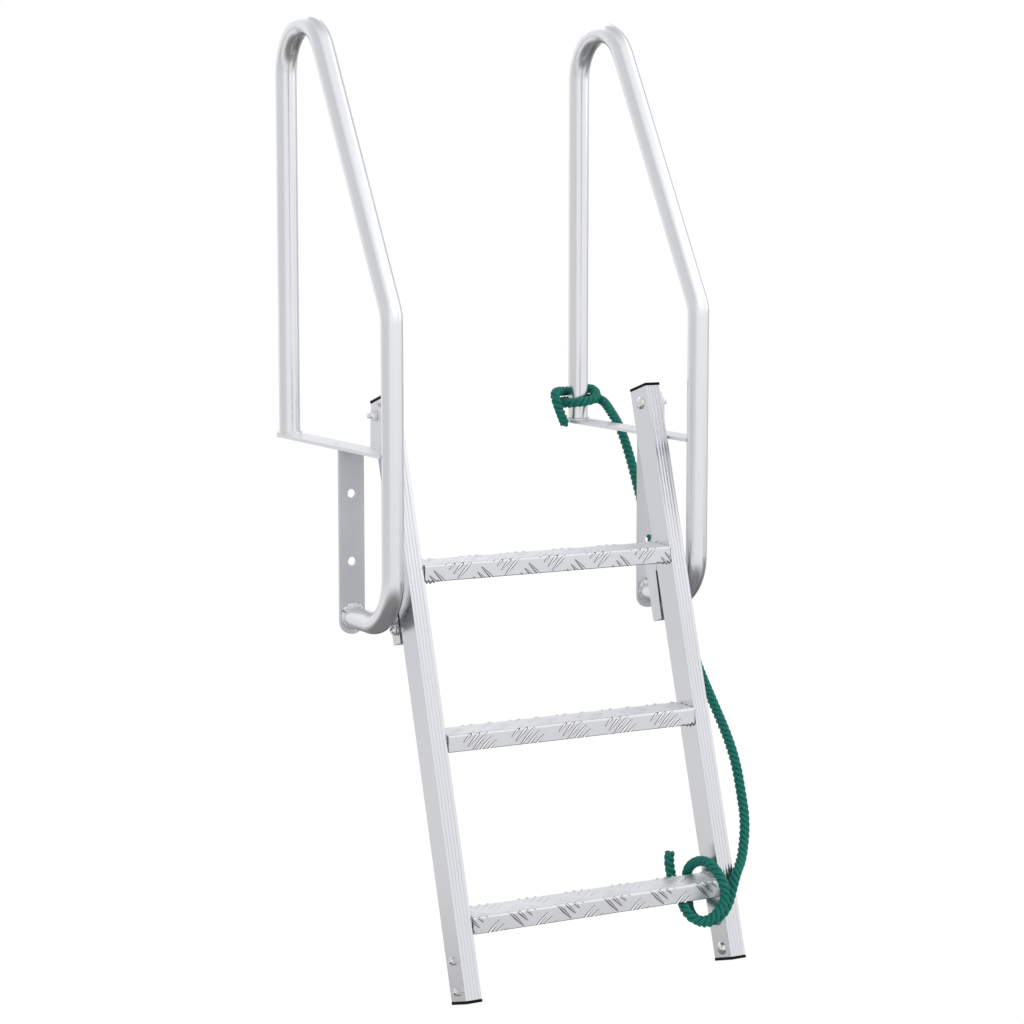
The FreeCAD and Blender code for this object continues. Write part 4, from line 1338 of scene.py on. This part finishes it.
# %% Threaded end
BOLT_RADIUS = 4 * MM
THREAD_PITCH = 1.25 * MM
THREAD_ROOT = 0.87
TIP_LENGTH = 0.5 * MM
TIP_SHARE = 0.78


def point_along(piece, start, way):
    """Turn and move a piece made upright at the origin so that it points along way."""
    turn = Vector(way).to_track_quat("Z", "Y").to_matrix().to_4x4()
    piece.data.transform(Matrix.Translation(start) @ turn)
    return piece


def thread(name, start, way, length):
    """A threaded end: rings of two radii, one after another, and a chamfered tip."""
    bpy.ops.object.select_all(action="DESELECT")
    bpy.ops.mesh.primitive_circle_add(vertices=24, radius=BOLT_RADIUS, fill_type="NOTHING")
    piece = fresh(name)
    edit_mode()
    bpy.ops.mesh.select_all(action="SELECT")
    turns = max(2, round(length / THREAD_PITCH))
    for index in range(turns * 2):
        size = THREAD_ROOT if index % 2 == 0 else 1 / THREAD_ROOT
        bpy.ops.mesh.extrude_edges_move(
            TRANSFORM_OT_translate={"value": (0, 0, length / (turns * 2))}
        )
        bpy.ops.transform.resize(value=(size, size, 1.0))
    bpy.ops.mesh.extrude_edges_move(TRANSFORM_OT_translate={"value": (0, 0, TIP_LENGTH)})
    bpy.ops.transform.resize(value=(TIP_SHARE, TIP_SHARE, 1.0))
    bpy.ops.mesh.edge_face_add()
    bpy.ops.mesh.select_all(action="SELECT")
    bpy.ops.mesh.normals_make_consistent(inside=False)
    object_mode()
    bpy.ops.object.shade_smooth_by_angle(angle=math.radians(30))
    return point_along(piece, start, way)


print("the thread's pitch is %.2f mm" % (THREAD_PITCH / MM))

# %% Domed head
HEAD_RADIUS = 9.5 * MM
HEAD_HEIGHT = 4.5 * MM
SOCKET_RADIUS = 2.9 * MM
SOCKET_DEPTH = 2.2 * MM
DOME_RISES = ((0.8, 1.0), (1.3, 0.93), (1.2, 0.84), (0.8, 0.76), (0.4, 0.72))


def dome_head(name, start, way):
    """A low dome with a hexagonal socket, its flat side at start and bulging along way."""
    bpy.ops.object.select_all(action="DESELECT")
    bpy.ops.mesh.primitive_circle_add(vertices=36, radius=HEAD_RADIUS, fill_type="NGON")
    piece = fresh(name)
    edit_mode()
    bpy.ops.mesh.select_all(action="SELECT")
    for rise, shrink in DOME_RISES:
        bpy.ops.mesh.extrude_region_move(TRANSFORM_OT_translate={"value": (0, 0, rise * MM)})
        bpy.ops.transform.resize(value=(shrink, shrink, 1.0))
    bpy.ops.mesh.select_all(action="SELECT")
    bpy.ops.mesh.normals_make_consistent(inside=False)
    object_mode()
    floor_height = HEAD_HEIGHT - SOCKET_DEPTH
    socket = rod("socket", SOCKET_RADIUS, (0, 0, floor_height), (0, 0, HEAD_HEIGHT + MM), 6)
    cut_with(piece, socket)
    select_only(piece)
    bpy.ops.object.shade_smooth_by_angle(angle=math.radians(35))
    return point_along(piece, start, way)


print("a head is %.0f mm wide" % (2 * HEAD_RADIUS / MM))

# %% [markdown]
# ### The pivot bolts
# The ladder turns on two bolts. From inside outwards there is the domed head on the
# stringer, a nylon sleeve that keeps the stringer off the ear, the ear, a washer and the
# nut, with the end of the thread standing out of it. All of them ride on the ladder.

# %% Pivot bolts
SIDE_PLAY = 0.2 * MM
STUD_END = 4 * MM
SLEEVE_RADIUS = 10 * MM
SHANK_FIT = 0.98


def make_pivot(side):
    x = RAIL_X[side]
    inward = INWARD[side]
    out = Vector((-inward, 0, 0))
    stringer_outer = x + inward * STRINGER_OUT
    stringer_inner = stringer_outer + inward * STRINGER_WIDTH
    lug_inner = x + inward * HALF_BAR
    lug_outer = lug_inner - inward * BAR

    def at(place_x):
        return Vector((place_x, PIVOT.y, PIVOT.z))

    head = dome_head(side + "_pivot_head", at(stringer_inner), -out)
    shank = rod("shank", BOLT_RADIUS * SHANK_FIT, at(stringer_inner), at(lug_outer))
    washer_start = lug_outer - inward * SIDE_PLAY
    nut_start = washer_start - inward * WASHER_HEIGHT
    stud_start = at(nut_start) + out * (NUT_HEIGHT - MM)
    end = thread("thread", stud_start, out, STUD_END + 0.5 * MM)
    bolt = join([head, shank, end], side + "_pivot_bolt_piece")
    settle(bolt, "ladder", "bright_steel", bolt_metal, side + "_pivot_bolt")
    disc = washer("disc", at(washer_start), out, WASHER_RADIUS, WASHER_HEIGHT)
    lock = nut("lock", at(nut_start), out)
    pair = join([lock, disc], side + "_pivot_nut_piece")
    settle(pair, "ladder", "bright_steel", bolt_metal, side + "_pivot_nut")
    sleeve_length = abs(stringer_outer - lug_inner) - SIDE_PLAY
    spacer = washer(
        side + "_pivot_sleeve", at(stringer_outer), out, SLEEVE_RADIUS, sleeve_length
    )
    settle(spacer, "ladder", "white_nylon", spacer_plastic, side + "_pivot_spacer")


for side in RAIL_X:
    make_pivot(side)
print("pivot bolts turn in the ears with", SIDE_PLAY / MM, "mm of side play")

# %% [markdown]
# ### Foot bolts and stop bolts
# Two small bolts cross each stringer near its foot, with their domed heads inside and their
# nuts outside. The stop bolt crosses the channel, and its nut is what bears on the rail's
# lower bend. No end of it shows on the inner side, so a flush round face covers its hole.

# %% Foot bolts
FOOT_BOLT_RISES = (14 * MM, 57 * MM)
FOOT_NUT_FLATS = 11 * MM
FOOT_NUT_HEIGHT = 5.5 * MM
FOOT_STUD_RADIUS = 2.9 * MM
STUD_PROUD = 2 * MM


def ladder_point(x, back, up):
    return LADDER @ Vector((0, back, up)) + Vector((x, 0, 0))


def make_foot_bolts(side):
    inward = INWARD[side]
    out = Vector((-inward, 0, 0))
    outer = RAIL_X[side] + inward * STRINGER_OUT
    inner = outer + inward * STRINGER_WIDTH
    pieces = []
    for rise in FOOT_BOLT_RISES:
        up = STRINGER_ABOVE - STRINGER_LENGTH + rise
        pieces.append(dome_head("head", ladder_point(inner, 0, up), -out))
        nut_start = ladder_point(outer, 0, up)
        pieces.append(nut("lock", nut_start, out, FOOT_NUT_FLATS, FOOT_NUT_HEIGHT))
        stud_end = nut_start + out * (FOOT_NUT_HEIGHT + STUD_PROUD)
        pieces.append(rod("end", FOOT_STUD_RADIUS, nut_start, stud_end))
    piece = join(pieces, side + "_foot_bolt_pair")
    settle(piece, "ladder", "bright_steel", bolt_metal, side + "_foot_bolts")


for side in RAIL_X:
    make_foot_bolts(side)
print(len(FOOT_BOLT_RISES), "foot bolts on each side")

# %% Stop bolts
STOP_BACK = 38 * MM
STOP_DROP = 307.4 * MM
COVER_OVER = 0.6 * MM
COVER_DEPTH = 3.05 * MM


def make_stop_bolt(side):
    inward = INWARD[side]
    out = Vector((-inward, 0, 0))
    low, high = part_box(side + "_stop_bolt")
    outer = RAIL_X[side] + inward * STRINGER_OUT
    inner = high[0] if inward > 0 else low[0]
    spot = ladder_point(0, STOP_BACK, -STOP_DROP)

    def at(place_x):
        return Vector((place_x, spot.y, spot.z))

    shank = rod("shank", BOLT_RADIUS * SHANK_FIT, at(inner), at(outer))
    disc = washer("disc", at(outer), out, WASHER_RADIUS, WASHER_HEIGHT)
    lock = nut("lock", at(outer) + out * WASHER_HEIGHT, out)
    stud_start = at(outer) + out * (WASHER_HEIGHT + NUT_HEIGHT - MM)
    end = thread("end", stud_start, out, STUD_PROUD)
    piece = join([lock, disc, shank, end], side + "_stop_bolt_piece")
    settle(piece, "ladder", "bright_steel", bolt_metal, side + "_stop_bolt")
    cover_end = at(inner) + Vector((inward * COVER_DEPTH, 0, 0))
    cover_radius = BOLT_RADIUS + COVER_OVER
    flush_end = rod(side + "_stop_bolt_flush_end", cover_radius, at(inner), cover_end)
    settle(flush_end, "ladder", "aluminium", stringer_metal)


for side in RAIL_X:
    make_stop_bolt(side)
print("stop bolts cross the channels %.0f mm below the pivot" % (STOP_DROP / MM))

# %% [markdown]
# ## Welds
# The pieces are joined by hand-laid aluminium welds. A bead is a row of overlapping
# ripples, so it is a curve with a round bevel whose radius swells and falls along its
# length, turned into a mesh. A little seeded jitter keeps the row from looking machined.
# Most beads are bright. At the ends of the steps thin beads with a dark finish sit in the
# gap between lip and stringer as painted shade of that gap, with a few drops of burnt spatter
# beside them.

# %% A rippled bead
RIPPLE = 2.6 * MM
RIPPLE_POINTS = 4
RIPPLE_SIZES = (0.82, 1.0, 1.06, 0.96)
WOBBLE = 0.12
X_WAY, Y_WAY, Z_WAY = Vector((1, 0, 0)), Vector((0, 1, 0)), Vector((0, 0, 1))
jitter = random.Random(7)


def bead(name, points, radius):
    """A weld bead along points, a mesh of its own."""
    points = evenly([Vector(point) for point in points], RIPPLE / RIPPLE_POINTS)
    data = bpy.data.curves.new(name, "CURVE")
    data.dimensions = "3D"
    data.bevel_depth = radius
    data.bevel_resolution = 2
    data.use_fill_caps = True
    path = data.splines.new("POLY")
    path.points.add(len(points) - 1)
    swell = 1.0
    for index, (control, point) in enumerate(zip(path.points, points)):
        phase = index % RIPPLE_POINTS
        if phase == 0:
            swell = jitter.uniform(0.85, 1.12)
        wobble = Vector([jitter.uniform(-WOBBLE, WOBBLE) * radius for _ in range(3)])
        control.co = (*(point + wobble), 1.0)
        control.radius = swell * RIPPLE_SIZES[phase]
    curve = bpy.data.objects.new(name, data)
    scene.collection.objects.link(curve)
    select_only(curve)
    bpy.ops.object.convert(target="MESH")
    piece = fresh(name)
    bpy.ops.object.shade_smooth()
    return piece


def ring_points(centre, radius, second, start, end, count=48):
    """Points on a circle in the plane of X and a second direction, from start to end degrees."""
    points = []
    for index in range(count + 1):
        angle = math.radians(start + (end - start) * index / count)
        out = X_WAY * math.cos(angle) + second * math.sin(angle)
        points.append(Vector(centre) + out * radius)
    return points


print("ripples are %.1f mm apart" % (RIPPLE / MM))

# %% Welds on the rails
BEAD = 2.0 * MM


def weld_rail(side):
    """Rings round the tube where it meets bar and plate, and rows under bar and ear."""
    x = RAIL_X[side]
    top = LEFT[1][2]
    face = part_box(side + "_dock_plate")[0][1]
    rings = [
        ("foot", (x, BACK_Y, top + 0.6 * MM), 0.8, Y_WAY, 0, 360, 1.0),
        ("notch_top", (x, FRONT_Y, top - 0.4 * MM), 0.6, Y_WAY, 28, 152, 0.8),
        ("notch_below", (x, FRONT_Y, 0.4 * MM), 0.6, Y_WAY, 28, 152, 0.8),
        ("leg_below", (x, face - 0.6 * MM, LEG_Z), 0.6, Z_WAY, 150, 390, 1.0),
        ("leg_above", (x, face - 1.4 * MM, LEG_Z), 1.6, Z_WAY, 35, 148, 1.9),
        ("leg_above_again", (x, face - 5.0 * MM, LEG_Z), 0.4, Z_WAY, 62, 128, 1.2),
    ]
    beads = []
    for name, centre, proud, second, start, end, size in rings:
        points = ring_points(centre, TUBE_RADIUS + proud * MM, second, start, end)
        beads.append(bead(name, points, BEAD * size))
    row = (face - 0.4 * MM, -0.6 * MM)
    under_strap = [(x - HALF_BAR + 2 * MM, *row), (x + HALF_BAR - 2 * MM, *row)]
    beads.append(bead("under_strap", under_strap, BEAD * 0.9))
    low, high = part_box(side + "_pivot_lug")
    lug_out = low[0] if INWARD[side] > 0 else high[0]
    height = top + 0.4 * MM
    ear = [(lug_out, low[1] + MM, height), (lug_out, high[1] - MM, height)]
    beads.append(bead("ear", ear, BEAD * 0.8))
    settle(join(beads, side + "_rail_welds"), "rails", "aluminium", weld_metal)


for side in RAIL_X:
    weld_rail(side)
print("rail welds are %.0f mm thick" % (2 * BEAD / MM))

# %% Welds on the ladder
SPATTERED = {"left": ("top_step",), "right": ("top_step", "middle_step")}
SPATTER = ((0, 2.5), (3, -1.5), (6, 3), (8, -2), (12, 1.6), (14, -1), (18, 1.2), (24, 0.6))
BRACKET_WELD = (-236 * MM, -256 * MM)


def weld_ladder(side):
    """Rows under the treads and on the channel, and at the ends of the steps dark beads as
    painted shade of the gaps, with burnt spatter.
    """
    inward = INWARD[side]
    inner = RAIL_X[side] + inward * (STRINGER_OUT + STRINGER_WIDTH)
    gap = inner + inward * END_GAP * 0.5
    beads = []
    gap_shade_and_spatter = []
    for step in SHEET_STARTS:
        low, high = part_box(step)
        height = high[2] - TREAD_SHEET - 0.6 * MM
        row = [(inner, low[1] + 8 * MM, height), (inner, high[1] - 8 * MM, height)]
        beads.append(bead("under_tread", row, BEAD * 0.9))
        lip_y = low[1] + 2.2 * MM
        lip = [(gap, lip_y, high[2] - 2.5 * MM), (gap, lip_y, low[2] + 0.8 * MM)]
        # A dark bead in the gap at the lip's end, painted shade of that gap.
        gap_shade_and_spatter.append(bead("lip_end", lip, END_GAP * 0.55))
        if step in SPATTERED[side]:
            drops = [
                (gap + inward * reach * MM, low[1] - 0.2 * MM, low[2] + rise * MM)
                for reach, rise in SPATTER
            ]
            gap_shade_and_spatter.append(bead("lip_foot", drops, BEAD * 0.45))
    back = STRINGER_DEPTH / 2 + 0.2 * MM
    outer = RAIL_X[side] + inward * STRINGER_OUT
    for place_x in (outer + inward * 0.4 * MM, inner - inward * 0.4 * MM):
        row = [ladder_point(place_x, back, up) for up in BRACKET_WELD]
        beads.append(bead("bracket", row, BEAD * 0.55))
    settle(join(beads, side + "_ladder_welds"), "ladder", "aluminium", weld_metal)
    settle(join(gap_shade_and_spatter, side + "_step_end_welds"), "ladder", "aluminium", gap_shade_and_burnt_metal)


# Each step end gets a dark bead as painted shade of its gap.
for side in RAIL_X:
    weld_ladder(side)
print("each side has", len(SHEET_STARTS), "burnt step ends")

# %% [markdown]
# ## The stage
# The background of a catalogue shot is white. The floor lies 1.2 m below the ladder's foot,
# because the real one hangs off a dock. To the camera it glows an even white that lets a
# little of its shadow through. In the metal's reflections it glows darker near the middle
# and to the right. This is a painted reflection that stands for a studio floor's shade
# between its lamps, so that the tubes get their grey undersides.

# %% Glow for one kind of ray
def glow_over(tree, under, ray, strength, share):
    """Mix an even glow over a shader for one kind of ray."""
    glow = tree.nodes.new("ShaderNodeEmission")
    feed(tree, glow.inputs["Strength"], strength)
    mix = tree.nodes.new("ShaderNodeMixShader")
    tree.links.new(number_node(tree, "MULTIPLY", ray, share), mix.inputs[0])
    tree.links.new(under, mix.inputs[1])
    tree.links.new(glow.outputs[0], mix.inputs[2])
    return mix.outputs[0]


def vector_node(tree, operation, vector, other=None):
    node = tree.nodes.new("ShaderNodeVectorMath")
    node.operation = operation
    tree.links.new(vector, node.inputs[0])
    if other is not None:
        node.inputs[1].default_value = other
    return node.outputs["Vector" if operation == "MULTIPLY" else "Value"]


print("glow helpers are ready")

# %% Floor
FLOOR_Z = cad_box[0][2] - 1.2
FLOOR_RADIUS = 9.0
NEAR_FLOOR = 2.2
FAR_FLOOR = 4.4
SHADOW_LEFT = 0.06
NEAR_GLOW = 0.20
FAR_GLOW = 0.84
RIGHT_WAY = (0.86, 0.50, 0.0)
RIGHT_START = 1.2
RIGHT_END = 2.6
RIGHT_SHARE = 0.30

bpy.ops.object.select_all(action="DESELECT")
bpy.ops.mesh.primitive_circle_add(
    vertices=96, radius=FLOOR_RADIUS, fill_type="NGON", location=(0.25, 0, FLOOR_Z)
)
floor = fresh("studio_floor")
apply_place()
floor_material, tree, shader, place = new_material("studio_floor")
shader.inputs["Base Color"].default_value = (0.86, 0.86, 0.86, 1.0)
shader.inputs["Roughness"].default_value = 0.9
level_place = vector_node(tree, "MULTIPLY", place, (1.0, 1.0, 0.0))
distance = vector_node(tree, "LENGTH", level_place)
reach = spread_value(tree, distance, 0.0, 1.0, NEAR_FLOOR, FAR_FLOOR)
towards_right = vector_node(tree, "DOT_PRODUCT", place, RIGHT_WAY)
right_side = spread_value(tree, towards_right, 1.0, RIGHT_SHARE, RIGHT_START, RIGHT_END)
rays = tree.nodes.new("ShaderNodeLightPath")
clear = spread_value(tree, reach, 1.0 - SHADOW_LEFT, 1.0)
seen = glow_over(tree, shader.outputs[0], rays.outputs["Is Camera Ray"], 1.0, clear)
# Painted reflection: the glow that reflected rays see, darker near the middle and to the right.
painted_reflection = spread_value(tree, reach, NEAR_GLOW, FAR_GLOW)
painted_reflection = number_node(tree, "MULTIPLY", painted_reflection, right_side)
surface = glow_over(tree, seen, rays.outputs["Is Glossy Ray"], painted_reflection, 1.0)
tree.links.new(surface, tree.nodes["Material Output"].inputs["Surface"])
floor.data.materials.append(floor_material)
print("the floor lies at %.2f m" % FLOOR_Z)

# %% [markdown]
# ## The world
# The world is plain white to the camera. For everything else it is a soft studio: a ramp
# from a dim floor level over a bright horizon to a slightly dimmer ceiling, with six round
# patches that are a little brighter or darker. Polished tube shows what it mirrors, so the
# patches stand where its bright and grey stripes come from.

# %% Levels from floor to ceiling
LEVELS = [(-1.0, 0.22), (-0.24, 0.66), (-0.12, 0.88), (0.1, 0.94), (0.5, 0.90), (1.0, 0.80)]

world = bpy.data.worlds.new("studio")
scene.world = world
world.use_nodes = True
tree = world.node_tree
tree.nodes.clear()
output = tree.nodes.new("ShaderNodeOutputWorld")
white = tree.nodes.new("ShaderNodeBackground")
white.inputs["Color"].default_value = (1.0, 1.0, 1.0, 1.0)
where = tree.nodes.new("ShaderNodeTexCoord").outputs["Generated"]
split = tree.nodes.new("ShaderNodeSeparateXYZ")
tree.links.new(where, split.inputs[0])
ramp = tree.nodes.new("ShaderNodeValToRGB")
ramp.color_ramp.elements.remove(ramp.color_ramp.elements[1])
ramp.color_ramp.elements[0].position = 0.0
ramp.color_ramp.elements[0].color = (LEVELS[0][1],) * 3 + (1.0,)
for level, value in LEVELS[1:]:
    element = ramp.color_ramp.elements.new((level + 1) / 2)
    element.color = (value, value, value, 1.0)
height = spread_value(tree, split.outputs["Z"], 0.0, 1.0, -1.0)
tree.links.new(height, ramp.inputs["Fac"])
print("the world has", len(LEVELS), "levels")

# %% Round patches
PATCHES = [
    ((0.20, -0.70, 0.62), 50.0, 25.0, 0.08),
    ((-0.93, 0.12, 0.25), 55.0, 38.0, -0.22),
    ((0.15, 0.45, 0.88), 42.0, 0.0, -0.22),
    ((0.92, 0.30, 0.22), 36.0, 8.0, -0.36),
    ((-0.48, 0.87, -0.10), 30.0, 10.0, -0.03),
    ((0.48, 0.87, 0.15), 30.0, 10.0, -0.08),
]


def patch_of_light(tree, way, wide, full, amount):
    """A soft round patch of the sky, brighter or darker by an amount inside its full angle."""
    towards = vector_node(tree, "DOT_PRODUCT", where, Vector(way).normalized())
    edge, inside = math.cos(math.radians(wide)), math.cos(math.radians(full))
    fade = spread_value(tree, towards, 0.0, amount, edge, inside)
    fade.node.interpolation_type = "SMOOTHSTEP"
    return fade


level = ramp.outputs["Color"]
for way, wide, full, amount in PATCHES:
    level = number_node(tree, "ADD", level, patch_of_light(tree, way, wide, full, amount))
soft = tree.nodes.new("ShaderNodeBackground")
soft.inputs["Color"].default_value = (0.98, 0.985, 1.0, 1.0)
tree.links.new(level, soft.inputs["Strength"])
rays = tree.nodes.new("ShaderNodeLightPath")
mix = tree.nodes.new("ShaderNodeMixShader")
tree.links.new(rays.outputs["Is Camera Ray"], mix.inputs[0])
tree.links.new(soft.outputs[0], mix.inputs[1])
tree.links.new(white.outputs[0], mix.inputs[2])
tree.links.new(mix.outputs[0], output.inputs["Surface"])
print("the world has", len(PATCHES), "patches")

# %% [markdown]
# ## The lamps
# Three large soft lamps, one above the camera, one from the right and one from behind, add
# a little shape to the even light. They stay weak, so that pale metal doesn't clip to white.

# %% Lamps
AIM = Vector((0.25, 0.0, -0.1))
LAMPS = [
    ("key_front", (0.9, -3.4, 2.8), (3.2, 3.0), 9.0),
    ("fill_right", (3.2, -0.4, 1.8), (2.4, 3.0), 12.0),
    ("rim_back", (0.6, 3.0, 2.4), (3.0, 2.0), 14.0),
]
for name, spot, size, power in LAMPS:
    data = bpy.data.lights.new(name, "AREA")
    data.shape = "RECTANGLE"
    data.size, data.size_y = size
    data.energy = power
    lamp = bpy.data.objects.new(name, data)
    lamp.location = spot
    lamp.rotation_euler = (AIM - Vector(spot)).to_track_quat("-Z", "Y").to_euler()
    scene.collection.objects.link(lamp)
print("lamps:", [lamp[0] for lamp in LAMPS])
